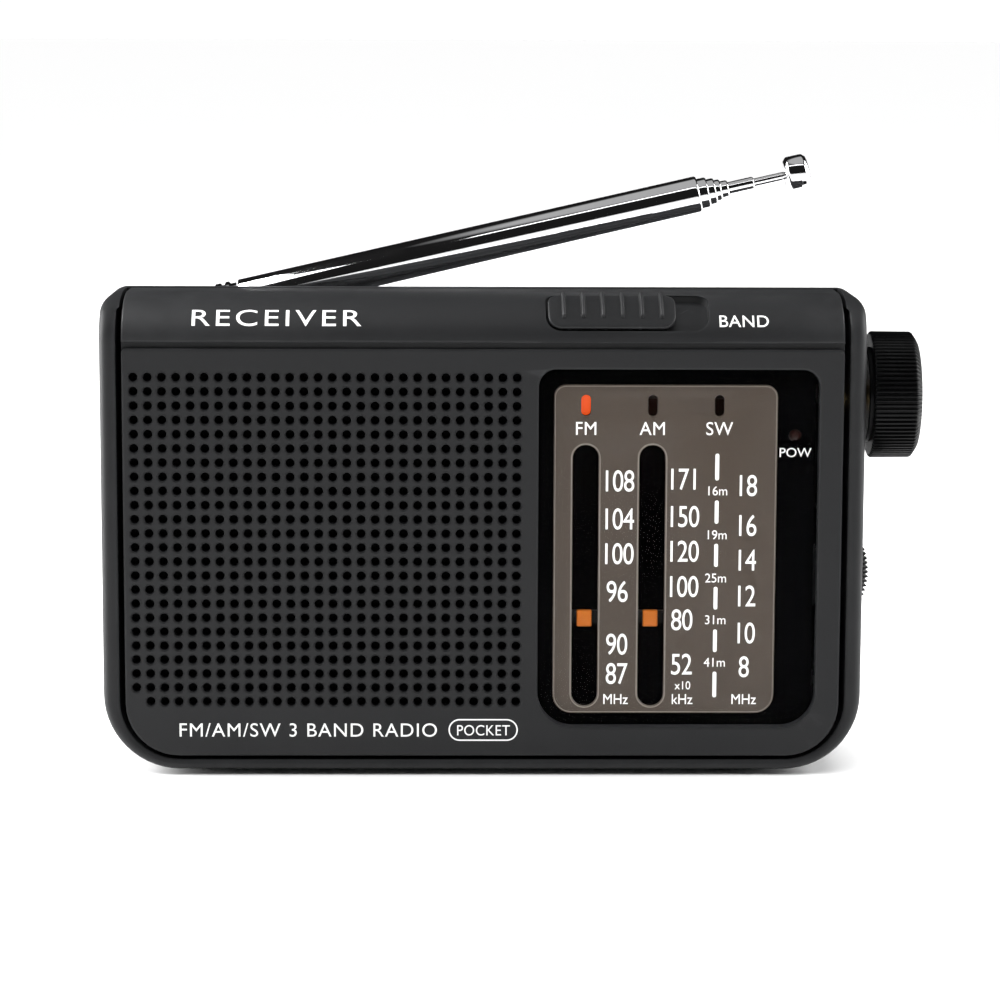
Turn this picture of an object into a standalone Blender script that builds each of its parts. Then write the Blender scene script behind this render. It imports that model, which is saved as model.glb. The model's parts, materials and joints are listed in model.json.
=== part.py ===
"""Pocket three-band shortwave receiver, as separate pieces in one frame.

Units below are millimetres, turned into metres as each mesh is made. X runs to the receiver's right as its
face is seen, Y runs from the face to the back, and Z runs up. The middle of the case is at X = 0 while the
pieces are drawn, and the surface that it stands on is at Z = GROUND; an empty then carries them all so that
the world origin lies on that surface, under the middle of the whole object's box.
"""

from math import cos, pi, radians, sin, sqrt

import bmesh
import bpy
from mathutils import Matrix, Vector

MM = 0.001
GAP = 0.3                                  # between pieces that touch

# Case
CASE_HALF_WIDTH = 59.5
GROUND = 0.94
CASE_BOTTOM = 1.8
CASE_TOP = 76.5
CASE_FRONT = -14.5
CASE_BACK = 14.5
CASE_WALL = 2.6
CASE_FLOOR = 1.7
BOTTOM_CORNER = 12.0
TOP_CORNER = 2.9
RIM = 3.0                                  # width of the bullnose beside the face
RIM_BELOW = 2.0                            # its width under the face
RIM_NOSE = 1.5
FOOT_X = 48.0
FOOT_WIDTH = 1.6
FOOT_LENGTH = 18.0
FOOT_SEAT = 0.9                            # depth of the recess that a foot strip sits in

# Front cover
FACE_HALF_WIDTH = 56.0
FACE_BOTTOM = 4.1
FACE_TOP = 68.4
COVER_WALL = 2.0
FACE_CORNER = 8.4
SKIRT = 0.7                                # thin wall behind the face's sides and bottom
SKIRT_BACK = -7.2
GROOVE_DEPTH = 0.8
BAND_BOTTOM = 69.35
BAND_DEPTH = 10.0                          # how far the curved top band leans back
BAND_RISE = CASE_TOP - BAND_BOTTOM
PARTING_Y = 1.5                            # back edge of the cover's top
WINDOW_X = (8.6, 52.2)
WINDOW_Z = (8.8, 65.2)
WINDOW_TOP_RADIUS = 2.7
WINDOW_BOTTOM_RADIUS = 5.5

# Dial behind the window
PLATE_X = (11.0, 45.85)
PLATE_Z = (10.7, 62.7)
PLATE_TOP_RADIUS = 1.9
PLATE_BOTTOM_RADIUS = 3.0
SCALE_X = (16.0, 26.4, 36.75)              # the three bands' columns
SLOT_WIDTH = 4.05
SLOT_Z = (11.85, 53.25)
FLAG_Z = 59.45
FLAG_WINDOW = (1.5, 3.3)
POINTER_Z = 25.5
POINTER = (2.35, 0.8, 2.6)
LED_X = 48.7
LED_Z = 54.7

# Band slider in the top band
BAND_POCKET_X = (9.7, 34.9)
BAND_POCKET_ARC = (15.5, 72.0)             # degrees up the band's curve
BAND_POCKET_DEPTH = 1.3
SLIDER_X = (10.0, 29.8)
SLIDER_ARC = (18.0, 67.0)
SLIDER_PROUD = 0.5
SLIDER_STEP = 2.4                          # travel from one band to the next

# Tuning drive
KNOB_Y = -4.0
KNOB_Z = 60.3
KNOB_RADIUS = 10.0
KNOB_INNER_X = 61.0
KNOB_OUTER_X = 68.5
CORD_X = 50.0
CORD_RADIUS = 0.2
CORD_WRAP = 1.5                            # drum axis to the cord's middle
PULLEY_Z = 9.5
BUSH_RADIUS = 2.6
SHAFT_RADIUS = 1.5
GUIDE_ROD_X = (21.2, 36.0)
GUIDE_ROD_Y = -7.6
GUIDE_ROD_RADIUS = 0.8
SLIDE_POT_X = (40.0, 44.5)

# Volume wheel
WHEEL_X = 51.4
WHEEL_Y = (2.9, 5.7)
WHEEL_Z = 30.5
WHEEL_RADIUS = 11.2
WHEEL_SLOT_HALF = 10.2

# Earphone jack in the left wall, at (Y, Z)
JACK_PLACE = (2.0, 30.0)
JACK_NOSE_RADIUS = 3.0

# Antenna
PIVOT = (-47.1, 9.5, 72.15)
REST_TILT = 12.9                           # degrees above level
SECTION_RADII = (3.15, 2.65, 2.25, 1.85, 1.45, 1.05, 0.7)
SECTION_ENDS = (84.1, 85.6, 86.8, 87.7, 88.9, 93.1, 98.2)
SECTION_STARTS = (8.6, 9.6, 11.0, 12.0, 13.0, 15.0, 20.0)
TUBE_CLEARANCE = 0.15
STEM_RADIUS = 2.1
PIN_RADIUS = 0.9
TIP_RADIUS = 2.9
TIP_LENGTH = 3.8
LEDGE_Z = 68.5                             # floor of the step that the antenna folds into
LEDGE_Y = 4.8

# Battery bay: two AA cells on end
CELL_X = (15.7, 30.2)
CELL_Y = 5.8
CELL_RADIUS = 7.1
CELL_LENGTH = 50.0
CELL_BOTTOM = 7.2
BAY_X = (8.3, 37.6)
BAY_Z = (3.6, 58.2)
BAY_FRONT = -1.5
DOOR_X = (6.4, 39.5)
DOOR_Z = (4.6, 60.4)
DOOR_THICKNESS = 1.3

SPEAKER_X = -24.5
SPEAKER_Z = 38.4
BOARD_Y = (-1.9, -0.7)
PARTS_Y = BOARD_Y[1] + GAP                 # where the board's components start
AERIAL_ROD = (7.0, 60.6)                   # the ferrite aerial's (Y, Z)
SCREWS = ((-51.3, 8.6), (2.5, 7.4), (53.9, 14.0), (53.9, 65.6))
SCREW_HEAD_RADIUS = 2.1
SCREW_SEAT_Y = 5.3                         # underside of the screw heads, deep in their holes
PILLAR_FRONT = -5.0                        # the rear shell's screw pillars
PILLAR_RADIUS = 2.7

WHOLE_HALF_SHIFT = (KNOB_OUTER_X - CASE_HALF_WIDTH) / 2


def clear_scene():
    for item in list(bpy.data.objects):
        bpy.data.objects.remove(item, do_unlink=True)


def make_material(name, colour, roughness, metallic=0.0, alpha=1.0):
    material = bpy.data.materials.new(name)
    material.use_nodes = True
    shader = material.node_tree.nodes["Principled BSDF"]
    shader.inputs["Base Color"].default_value = (*colour, 1.0)
    shader.inputs["Roughness"].default_value = roughness
    shader.inputs["Metallic"].default_value = metallic
    shader.inputs["Alpha"].default_value = alpha
    return material


# ---- shapes, each returned as a bmesh in millimetres ----

def block(low, high):
    shape = bmesh.new()
    size = [top - bottom for bottom, top in zip(low, high)]
    middle = [(top + bottom) / 2 for bottom, top in zip(low, high)]
    place = Matrix.Translation(middle) @ Matrix.Diagonal((*size, 1.0))
    bmesh.ops.create_cube(shape, size=1.0, matrix=place)
    return shape


def point_on(axis, along, pair):
    """A point given by its place along an axis and its other two coordinates, in X, Y, Z order."""
    first, second = pair
    return {"X": (along, first, second), "Y": (first, along, second), "Z": (first, second, along)}[axis]


def prism(outline, axis, start, end):
    """A flat outline pushed straight along an axis."""
    shape = bmesh.new()
    face = shape.faces.new([shape.verts.new(point_on(axis, start, pair)) for pair in outline])
    pushed = bmesh.ops.extrude_face_region(shape, geom=[face])["geom"]
    moved = [item for item in pushed if isinstance(item, bmesh.types.BMVert)]
    bmesh.ops.translate(shape, verts=moved, vec=Vector(point_on(axis, end - start, (0, 0))))
    bmesh.ops.recalc_face_normals(shape, faces=shape.faces[:])
    return shape


def turned(profile, axis, centre, steps=32, closed_ring=False):
    """A profile of (radius, place along the axis), spun all the way round."""
    shape = bmesh.new()
    direction = Vector(point_on(axis, 1, (0, 0)))
    outward = Vector(point_on(axis, 0, (1, 0)))
    points = [shape.verts.new(Vector(centre) + outward * r + direction * along) for r, along in profile]
    pairs = list(zip(points, points[1:]))
    if closed_ring:
        pairs.append((points[-1], points[0]))
    edges = [shape.edges.new(pair) for pair in pairs]
    bmesh.ops.spin(shape, geom=points + edges, cent=centre, axis=direction, angle=2 * pi, steps=steps)
    bmesh.ops.remove_doubles(shape, verts=shape.verts[:], dist=0.0005)
    bmesh.ops.recalc_face_normals(shape, faces=shape.faces[:])
    return shape


def rod(axis, start, end, centre, radius, steps=24):
    """A plain round bar along an axis; centre holds its other two coordinates."""
    return turned([(0, start), (radius, start), (radius, end), (0, end)], axis,
                  point_on(axis, 0, centre), steps)


def arc(centre, radius, first, last, count):
    """Points on a circle or, with a pair of radii, on an ellipse; angles in degrees."""
    across, up = radius if isinstance(radius, tuple) else (radius, radius)
    turns = [radians(first + (last - first) * step / count) for step in range(count + 1)]
    return [(centre[0] + across * cos(turn), centre[1] + up * sin(turn)) for turn in turns]


def rounded_outline(x_range, z_range, bottom_radius, top_radius, count=6):
    """Counter-clockwise from the bottom left corner's left end."""
    (left, right), (low, high) = x_range, z_range
    return (arc((left + bottom_radius, low + bottom_radius), bottom_radius, 180, 270, count)
            + arc((right - bottom_radius, low + bottom_radius), bottom_radius, 270, 360, count)
            + arc((right - top_radius, high - top_radius), top_radius, 0, 90, count)
            + arc((left + top_radius, high - top_radius), top_radius, 90, 180, count))


def lofted(rings):
    """Skin over rings of equal point counts, capped at both ends."""
    shape = bmesh.new()
    rows = [[shape.verts.new(point) for point in ring] for ring in rings]
    count = len(rings[0])
    for row, following in zip(rows, rows[1:]):
        for index in range(count):
            after = (index + 1) % count
            shape.faces.new((row[index], row[after], following[after], following[index]))
    shape.faces.new(rows[0])
    shape.faces.new(rows[-1])
    bmesh.ops.recalc_face_normals(shape, faces=shape.faces[:])
    return shape


def band_point(turn, offset=0.0):
    """A point (Y, Z) on the curved top band, degrees up from its lower edge, offset outwards."""
    y = CASE_FRONT + BAND_DEPTH - (BAND_DEPTH + offset) * cos(radians(turn))
    return y, BAND_BOTTOM + (BAND_RISE + offset) * sin(radians(turn))


def band_strip(turns, inner, outer, count=8):
    """Cross-section (Y, Z) of a strip that follows the band between two offsets."""
    steps = [turns[0] + (turns[1] - turns[0]) * step / count for step in range(count + 1)]
    return [band_point(turn, outer) for turn in steps] + [band_point(turn, inner) for turn in reversed(steps)]


# ---- objects ----

class Build:
    """Holds the carrying empties and makes each named object."""

    def __init__(self):
        self.root = bpy.data.objects.new("receiver", None)
        self.root.location = (-WHOLE_HALF_SHIFT * MM, 0, -GROUND * MM)
        bpy.context.collection.objects.link(self.root)

    def add(self, name, shape, material=None, origin=(0, 0, 0), smooth_below=35):
        mesh = bpy.data.meshes.new(name)
        bmesh.ops.translate(shape, verts=shape.verts[:], vec=-Vector(origin))
        bmesh.ops.scale(shape, verts=shape.verts[:], vec=(MM, MM, MM))
        shape.to_mesh(mesh)
        shape.free()
        mesh.shade_smooth()
        mesh.set_sharp_from_angle(angle=radians(smooth_below))
        item = bpy.data.objects.new(name, mesh)
        bpy.context.collection.objects.link(item)
        item.parent = self.root
        item.location = Vector(origin) * MM
        if material:
            mesh.materials.append(material)
        return item

    def change(self, item, operation, shape):
        """Cuts a helper shape from an object, or joins it on."""
        helper = self.add(f"{item.name}_{operation.lower()}_{len(item.modifiers)}", shape)
        helper.hide_render = True
        helper.display_type = "WIRE"
        modifier = item.modifiers.new(helper.name, "BOOLEAN")
        modifier.operation = operation
        modifier.solver = "EXACT"
        modifier.object = helper

    def cut(self, item, shape):
        self.change(item, "DIFFERENCE", shape)

    def join(self, item, shape):
        self.change(item, "UNION", shape)


def skirt_outline():
    """A thin U that follows the face's sides and rounded bottom, drawn in a hair so that it stays inside."""
    path = []
    for inset, turns in ((0.05, 1), (SKIRT, -1)):
        radius = FACE_CORNER - inset
        middle = FACE_HALF_WIDTH - FACE_CORNER
        low = FACE_BOTTOM + FACE_CORNER
        side = [(-FACE_HALF_WIDTH + inset, FACE_TOP - 3)] + arc((-middle, low), radius, 180, 270, 8)
        side += arc((middle, low), radius, 270, 360, 8) + [(FACE_HALF_WIDTH - inset, FACE_TOP - 3)]
        path += side[::turns]
    return path


def front_cover(build, plastic):
    inner_band = [band_point(turn, -COVER_WALL) for turn in range(90, -1, -15)]
    outer_band = [band_point(turn) for turn in range(0, 91, 10)]
    inner_face = CASE_FRONT + COVER_WALL
    section = ([(CASE_FRONT, FACE_BOTTOM), (CASE_FRONT, FACE_TOP), (CASE_FRONT + GROOVE_DEPTH, FACE_TOP),
                (CASE_FRONT + GROOVE_DEPTH, BAND_BOTTOM)] + outer_band
               + [(PARTING_Y, CASE_TOP), (PARTING_Y, CASE_TOP - COVER_WALL)] + inner_band
               + [(inner_face, FACE_BOTTOM)])
    cover = build.add("front_cover", prism(section, "X", -FACE_HALF_WIDTH, FACE_HALF_WIDTH), plastic)
    for side in (-1, 1):
        centre = (side * (FACE_HALF_WIDTH - FACE_CORNER), FACE_BOTTOM + FACE_CORNER)
        first = 180 if side < 0 else 360
        corner = arc(centre, FACE_CORNER, first, 270, 8)
        outside = corner + [(centre[0], 0), (side * 70, 0), (side * 70, centre[1])]
        build.cut(cover, prism(outside, "Y", CASE_FRONT - 1, inner_face + 1))
    build.join(cover, prism(skirt_outline(), "Y", inner_face - 0.5, SKIRT_BACK))
    window = rounded_outline(WINDOW_X, WINDOW_Z, WINDOW_BOTTOM_RADIUS, WINDOW_TOP_RADIUS)
    build.cut(cover, prism(window, "Y", CASE_FRONT - 1, inner_face + 1))
    pocket = band_strip(BAND_POCKET_ARC, -BAND_POCKET_DEPTH, 2.0)
    build.cut(cover, prism(pocket, "X", *BAND_POCKET_X))
    build.cut(cover, block((17.6, -10.3, 71.0), (27.0, -8.5, 78.0)))
    for x, z in SCREWS:
        radius = 1.8 if x > FACE_HALF_WIDTH - 5 else 2.2
        build.join(cover, rod("Y", inner_face - 0.5, -7.0, (x, z), radius, 20))
        build.cut(cover, rod("Y", -11.5, -6.0, (x, z), 1.2, 16))


def setback(z):
    """How far back the front edge lies at a height: nothing below the band, then its curve."""
    rise = min(max((z - BAND_BOTTOM) / BAND_RISE, 0.0), 1.0)
    return BAND_DEPTH * (1 - sqrt(1 - rise * rise))


def case_ring(inset, y, leaning):
    """The case's outline at a depth, drawn in by an inset; a leaning ring follows the band's curve."""
    bottom = max(BOTTOM_CORNER - inset, 0.4)
    top = max(TOP_CORNER - inset, 0.4)
    ends = (-CASE_HALF_WIDTH + inset, CASE_HALF_WIDTH - inset)
    low = CASE_BOTTOM + inset * RIM_BELOW / RIM
    outline = rounded_outline(ends, (low, CASE_TOP - inset), bottom, top, 8)
    climb = [BAND_BOTTOM + (CASE_TOP - TOP_CORNER - BAND_BOTTOM) * step / 5 for step in range(6)]
    outline = outline[:18] + [(ends[1], z) for z in climb[:-1]] + outline[18:] + [(ends[0], z) for z in
                                                                               reversed(climb[:-1])]
    return [(x, y + (setback(z) if leaning else 0), z) for x, z in outline]


def rear_shell(build, plastic):
    nose = [(RIM_NOSE * (1 - sin(radians(turn))), CASE_FRONT + RIM_NOSE * (1 - cos(radians(turn))))
            for turn in (90, 60, 30, 0)]
    rings = [case_ring(RIM, CASE_FRONT + RIM_NOSE, True)]
    rings += [case_ring(RIM - inset, y, True) for inset, y in nose[1:]]
    rings += [case_ring(inset, y, True) for inset, y in reversed(nose[:-1])]
    edge = 1.2
    rings += [case_ring(edge * (1 - cos(radians(turn))), CASE_BACK - edge * (1 - sin(radians(turn))), False)
              for turn in (0, 30, 60, 90)]
    shell = build.add("rear_shell", lofted(rings), plastic)
    inside_x = (-CASE_HALF_WIDTH + CASE_WALL, CASE_HALF_WIDTH - CASE_WALL)
    inside_corner = BOTTOM_CORNER - CASE_WALL
    inside_low = CASE_BOTTOM + CASE_FLOOR
    room = rounded_outline(inside_x, (inside_low, CASE_TOP - COVER_WALL), inside_corner, 0.6)
    build.cut(shell, prism(room, "Y", CASE_FRONT - 5, CASE_BACK - 2.0))
    build.join(shell, block((inside_x[0] - 0.7, LEDGE_Y - 1.6, LEDGE_Z - 1.6),
                            (inside_x[1] + 0.7, CASE_BACK - 1.5, CASE_TOP - 1.0)))
    side = CASE_HALF_WIDTH - RIM
    build.cut(shell, block((-side, CASE_FRONT - 5, FACE_TOP - 3), (side, PARTING_Y + GAP, CASE_TOP + 3)))
    build.cut(shell, block((-70, LEDGE_Y, LEDGE_Z), (70, CASE_BACK + 3, CASE_TOP + 3)))
    build.join(shell, block((BAY_X[0] - 1.1, BAY_FRONT - 1.0, inside_low - 0.5),
                            (BAY_X[1] + 1.1, CASE_BACK - 1.5, BAY_Z[1] + 1.1)))
    build.cut(shell, block((BAY_X[0], BAY_FRONT, BAY_Z[0]), (BAY_X[1], CASE_BACK + 1, BAY_Z[1])))
    build.cut(shell, block((DOOR_X[0] - GAP, CASE_BACK - DOOR_THICKNESS - GAP, DOOR_Z[0] - GAP),
                           (DOOR_X[1] + GAP, CASE_BACK + 1, DOOR_Z[1] + GAP)))
    wall = (CASE_HALF_WIDTH - CASE_WALL - 0.25, CASE_HALF_WIDTH + 1)
    build.cut(shell, rod("X", *wall, (KNOB_Y, KNOB_Z), BUSH_RADIUS + GAP, 24))
    build.cut(shell, block((wall[0], WHEEL_Y[0] - 0.4, WHEEL_Z - WHEEL_SLOT_HALF),
                           (wall[1], WHEEL_Y[1] + 0.4, WHEEL_Z + WHEEL_SLOT_HALF)))
    build.cut(shell, rod("X", -wall[1], -wall[0], JACK_PLACE, JACK_NOSE_RADIUS + GAP, 24))
    build.cut(shell, rod("Z", LEDGE_Z - 3, LEDGE_Z + 1, PIVOT[:2], STEM_RADIUS + GAP, 24))
    for x, z in SCREWS:
        build.join(shell, rod("Y", PILLAR_FRONT, CASE_BACK - 1.0, (x, z), PILLAR_RADIUS, 20))
        build.cut(shell, rod("Y", PILLAR_FRONT - 1, CASE_BACK + 1, (x, z), 1.5, 16))
        build.cut(shell, rod("Y", SCREW_SEAT_Y - GAP, CASE_BACK + 1, (x, z), SCREW_HEAD_RADIUS + GAP, 20))
    for x in (-FOOT_X, FOOT_X):
        build.cut(shell, foot_block(x, GAP, -1.0))


def foot_block(x, spare, bottom):
    """A foot strip's block, or the recess for it with room to spare around it."""
    across, along = FOOT_WIDTH / 2 + spare, FOOT_LENGTH / 2 + spare
    return block((x - across, -along, bottom), (x + across, along, CASE_BOTTOM + FOOT_SEAT - GAP + spare))


def feet(build, rubber):
    for name, x in (("foot_left", -FOOT_X), ("foot_right", FOOT_X)):
        build.add(name, foot_block(x, 0.0, GROUND), rubber)


def battery_door(build, plastic):
    outline = rounded_outline(DOOR_X, DOOR_Z, 1.0, 1.0, 3)
    door = build.add("battery_door", prism(outline, "Y", CASE_BACK - DOOR_THICKNESS, CASE_BACK), plastic)
    middle = sum(DOOR_X) / 2
    high = DOOR_Z[1]
    build.cut(door, block((middle - 7, CASE_BACK - 0.6, high - 7), (middle + 7, CASE_BACK + 1, high - 4)))


def case_screws(build, steel):
    for number, (x, z) in enumerate(SCREWS, 1):
        seat, head = SCREW_SEAT_Y, SCREW_HEAD_RADIUS
        profile = [(0, -10.5), (0.9, -10.5), (0.9, seat), (head, seat), (head, seat + 1.1),
                   (1.2, seat + 1.8), (0, seat + 1.8)]
        screw = build.add(f"case_screw_{number}", turned(profile, "Y", (x, 0, z), 16), steel)
        for width, height in ((2.2, 0.5), (0.5, 2.2)):
            build.cut(screw, block((x - width / 2, seat + 0.9, z - height / 2),
                                   (x + width / 2, seat + 3, z + height / 2)))


def dial(build, clear, taupe, black, red):
    lens_x = (WINDOW_X[0] + GAP, WINDOW_X[1] - GAP)
    lens_z = (WINDOW_Z[0] + GAP, WINDOW_Z[1] - GAP)
    lens = rounded_outline(lens_x, lens_z, WINDOW_BOTTOM_RADIUS - GAP, WINDOW_TOP_RADIUS - GAP)
    build.add("dial_window", prism(lens, "Y", -14.2, -13.2), clear)
    plate_shape = rounded_outline(PLATE_X, PLATE_Z, PLATE_BOTTOM_RADIUS, PLATE_TOP_RADIUS)
    plate = build.add("dial_plate", prism(plate_shape, "Y", -12.9, -12.4), taupe)
    mask = build.add("dial_mask", block((7.0, -12.1, 7.5), (51.8, -11.3, 66.3)), black)
    half = SLOT_WIDTH / 2
    for x in SCALE_X[:2]:
        slot = rounded_outline((x - half, x + half), SLOT_Z, half - 0.01, half - 0.01)
        build.cut(plate, prism(slot, "Y", -14, -12))
        build.cut(mask, prism(slot, "Y", -13, -11))
    for x in SCALE_X:
        wide, high = FLAG_WINDOW[0] / 2, FLAG_WINDOW[1] / 2
        corner = wide - 0.01
        hole = rounded_outline((x - wide, x + wide), (FLAG_Z - high, FLAG_Z + high), corner, corner, 4)
        build.cut(plate, prism(hole, "Y", -14, -12))
        build.cut(mask, prism(hole, "Y", -13, -11))
    build.cut(mask, rod("Y", -13, -10, (LED_X, LED_Z), 1.05, 16))
    profile = [(0, -12.6), (0.5, -12.5), (0.75, -12.1), (0.75, -11.0), (1.2, -11.0), (1.2, -8.0), (0, -8.0)]
    build.add("power_led", turned(profile, "Y", (LED_X, 0, LED_Z), 16), red)


def pointer_drive(build, orange, grey, steel, brass, black, cord_colour):
    for name, x in (("pointer_fm", SCALE_X[0]), ("pointer_am", SCALE_X[1])):
        wide, thick, high = POINTER
        shape = block((x - wide / 2, -11.0, POINTER_Z - high / 2),
                      (x + wide / 2, -11.0 + thick, POINTER_Z + high / 2))
        build.add(name, shape, orange, (x, -10.6, POINTER_Z))
    centre = (CORD_X, -9.3, POINTER_Z)
    bar = build.add("pointer_carriage", block((13.5, -9.9, POINTER_Z - 1), (51.2, -8.7, POINTER_Z + 1)),
                    grey, centre)
    for x in GUIDE_ROD_X:
        build.join(bar, block((x - 1.9, -9.8, POINTER_Z - 2.5), (x + 1.9, -5.7, POINTER_Z + 2.5)))
        build.cut(bar, rod("Z", POINTER_Z - 4, POINTER_Z + 4, (x, GUIDE_ROD_Y), GUIDE_ROD_RADIUS + GAP, 20))
    build.join(bar, block((CORD_X - 1, -9.8, POINTER_Z - 1.5), (CORD_X + 1.1, -6.0, POINTER_Z + 1.5)))
    pot_middle = sum(SLIDE_POT_X) / 2
    build.join(bar, block((pot_middle - 0.5, -9.8, POINTER_Z - 0.6),
                          (pot_middle + 0.5, -6.2, POINTER_Z + 0.6)))
    for name, x in zip(("guide_rod_left", "guide_rod_right"), GUIDE_ROD_X):
        build.add(name, rod("Z", 6.2, 57.0, (x, GUIDE_ROD_Y), GUIDE_ROD_RADIUS, 16), steel)
    slide_pot = block((SLIDE_POT_X[0], -5.9, 9.0), (SLIDE_POT_X[1], BOARD_Y[0] - GAP, 57.0))
    build.add("tuning_slide_pot", slide_pot, grey)
    tuning_axis, pulley_axis = (0, KNOB_Y, KNOB_Z), (0, KNOB_Y, PULLEY_Z)
    bore = SHAFT_RADIUS + GAP
    bush = [(bore, 55.5), (BUSH_RADIUS, 55.5), (BUSH_RADIUS, 60.0), (bore, 60.0)]
    build.add("tuning_bush", turned(bush, "X", tuning_axis, 24, True), brass)
    groove = grooved(CORD_X)
    drum = [(0, 47.5), (SHAFT_RADIUS, 47.5), (1.9, 48.4)] + groove + [(1.9, 51.6), (SHAFT_RADIUS, 52.0),
                                                                      (SHAFT_RADIUS, 66.0), (0, 66.0)]
    build.add("tuning_shaft", turned(drum, "X", tuning_axis, 24), steel, (CORD_X, KNOB_Y, KNOB_Z))
    hub = KNOB_INNER_X - 0.7
    knob = [(bore, hub), (7.5, hub), (7.5, KNOB_INNER_X), (KNOB_RADIUS, KNOB_INNER_X),
            (KNOB_RADIUS - 0.1, KNOB_OUTER_X - 1.0), (KNOB_RADIUS - 1.6, KNOB_OUTER_X), (0, KNOB_OUTER_X),
            (0, 66.3), (bore, 66.3), (bore, hub)]
    build.add("tuning_knob", turned(knob, "X", tuning_axis, 48), black, (KNOB_INNER_X, KNOB_Y, KNOB_Z))
    pulley = [(0.8, 48.8), (1.9, 48.8)] + groove + [(1.9, 51.2), (0.8, 51.2)]
    build.add("cord_pulley", turned(pulley, "X", pulley_axis, 20, True), brass, (CORD_X, KNOB_Y, PULLEY_Z))
    build.add("pulley_axle", rod("X", 47.5, 56.0, (KNOB_Y, PULLEY_Z), 0.5, 12), steel)
    round_top = arc((KNOB_Y, KNOB_Z), CORD_WRAP, 0, 180, 12)
    round_bottom = arc((KNOB_Y, PULLEY_Z), CORD_WRAP, 180, 360, 12)
    route = [(CORD_X, y, z) for y, z in round_top + round_bottom]
    build_loop(build, "dial_cord", route, CORD_RADIUS, cord_colour)


def grooved(middle):
    """The cord's groove in a drum or pulley, as (radius, place along the axis)."""
    return [(1.9, middle - 0.8), (1.0, middle - 0.7), (1.0, middle + 0.7), (1.9, middle + 0.8)]


def build_loop(build, name, points, radius, material):
    """A closed cord through points that lie in one plane of constant X."""
    shape = bmesh.new()
    count = len(points)
    sides = 8
    rows = []
    for index, point in enumerate(points):
        before, after = Vector(points[index - 1]), Vector(points[(index + 1) % count])
        ahead = (after - before).normalized()
        across = Vector((1, 0, 0))
        up = across.cross(ahead)
        rows.append([shape.verts.new(Vector(point) + radius * (across * cos(2 * pi * k / sides)
                                                               + up * sin(2 * pi * k / sides)))
                     for k in range(sides)])
    for index in range(count):
        row, following = rows[index], rows[(index + 1) % count]
        for k in range(sides):
            after = (k + 1) % sides
            shape.faces.new((row[k], row[after], following[after], following[k]))
    bmesh.ops.recalc_face_normals(shape, faces=shape.faces[:])
    return build.add(name, shape, material)


def band_switch(build, black, orange, grey):
    pad = band_strip(SLIDER_ARC, -BAND_POCKET_DEPTH + GAP, SLIDER_PROUD)
    slider = build.add("band_slider", prism(pad, "X", *SLIDER_X), black)
    build.join(slider, block((17.9, -10.0, 67.2), (21.9, -8.8, 75.2)))
    flag = build.add("band_indicator", block((14.0, -11.0, 63.0), (34.0, -10.5, 66.5)), orange)
    build.join(flag, block((17.9, -11.0, 66.0), (21.9, -10.5, 69.0)))
    for number, x in enumerate(SCALE_X):
        middle = x - number * SLIDER_STEP
        build.join(flag, block((middle - 0.95, -11.0, 57.0), (middle + 0.95, -10.5, 63.5)))
    build.add("band_switch_body", block((12.5, -7.6, 62.5), (28.0, -2.2, 67.8)), grey)


def volume(build, black, grey):
    low, high = WHEEL_Y
    profile = [(0, low), (WHEEL_RADIUS - 0.4, low), (WHEEL_RADIUS, low + 0.4), (WHEEL_RADIUS, high - 0.4),
               (WHEEL_RADIUS - 0.4, high), (3.0, high), (3.0, high + 0.6), (0, high + 0.6)]
    build.add("volume_wheel", turned(profile, "Y", (WHEEL_X, 0, WHEEL_Z), 60), black, (WHEEL_X, 4.3, WHEEL_Z))
    build.add("volume_pot", rod("Y", PARTS_Y, low - GAP, (WHEEL_X, WHEEL_Z), 5.0, 24), grey)


def sound(build, cloth, steel, paper, black, magnet):
    build.add("speaker_cloth", block((-54.8, -12.2, 11.8), (6.3, -11.9, 65.0)), cloth)
    centre = (SPEAKER_X, 0, SPEAKER_Z)
    frame = [(25, -11.6), (25, -10.8), (22.5, -10.6), (12, -3.6), (12, -3.0), (0, -3.0), (0, -3.8),
             (11, -3.8), (21.7, -11.2), (22.5, -11.6)]
    build.add("speaker_frame", turned(frame + [frame[0]], "Y", centre, 40), steel)
    cone = [(0, -8.0), (5.5, -7.2), (6.2, -6.6), (20.8, -11.1), (20.8, -11.5), (6.0, -7.3), (5.0, -8.0),
            (0, -8.8)]
    build.add("speaker_cone", turned(cone, "Y", centre, 32), paper)
    build.add("speaker_magnet", rod("Y", -2.7, 4.0, (SPEAKER_X, SPEAKER_Z), 11.0, 32), magnet)
    nose, body, socket = JACK_NOSE_RADIUS, JACK_NOSE_RADIUS + 1.2, 1.8
    jack = [(socket, -59.2), (nose, -59.2), (nose, -56.5), (body, -56.5), (body, -46.0), (0, -46.0),
            (0, -47.0), (socket, -47.0), (socket, -59.2)]
    build.add("earphone_jack", turned(jack, "X", (0, *JACK_PLACE), 24), black)


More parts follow.
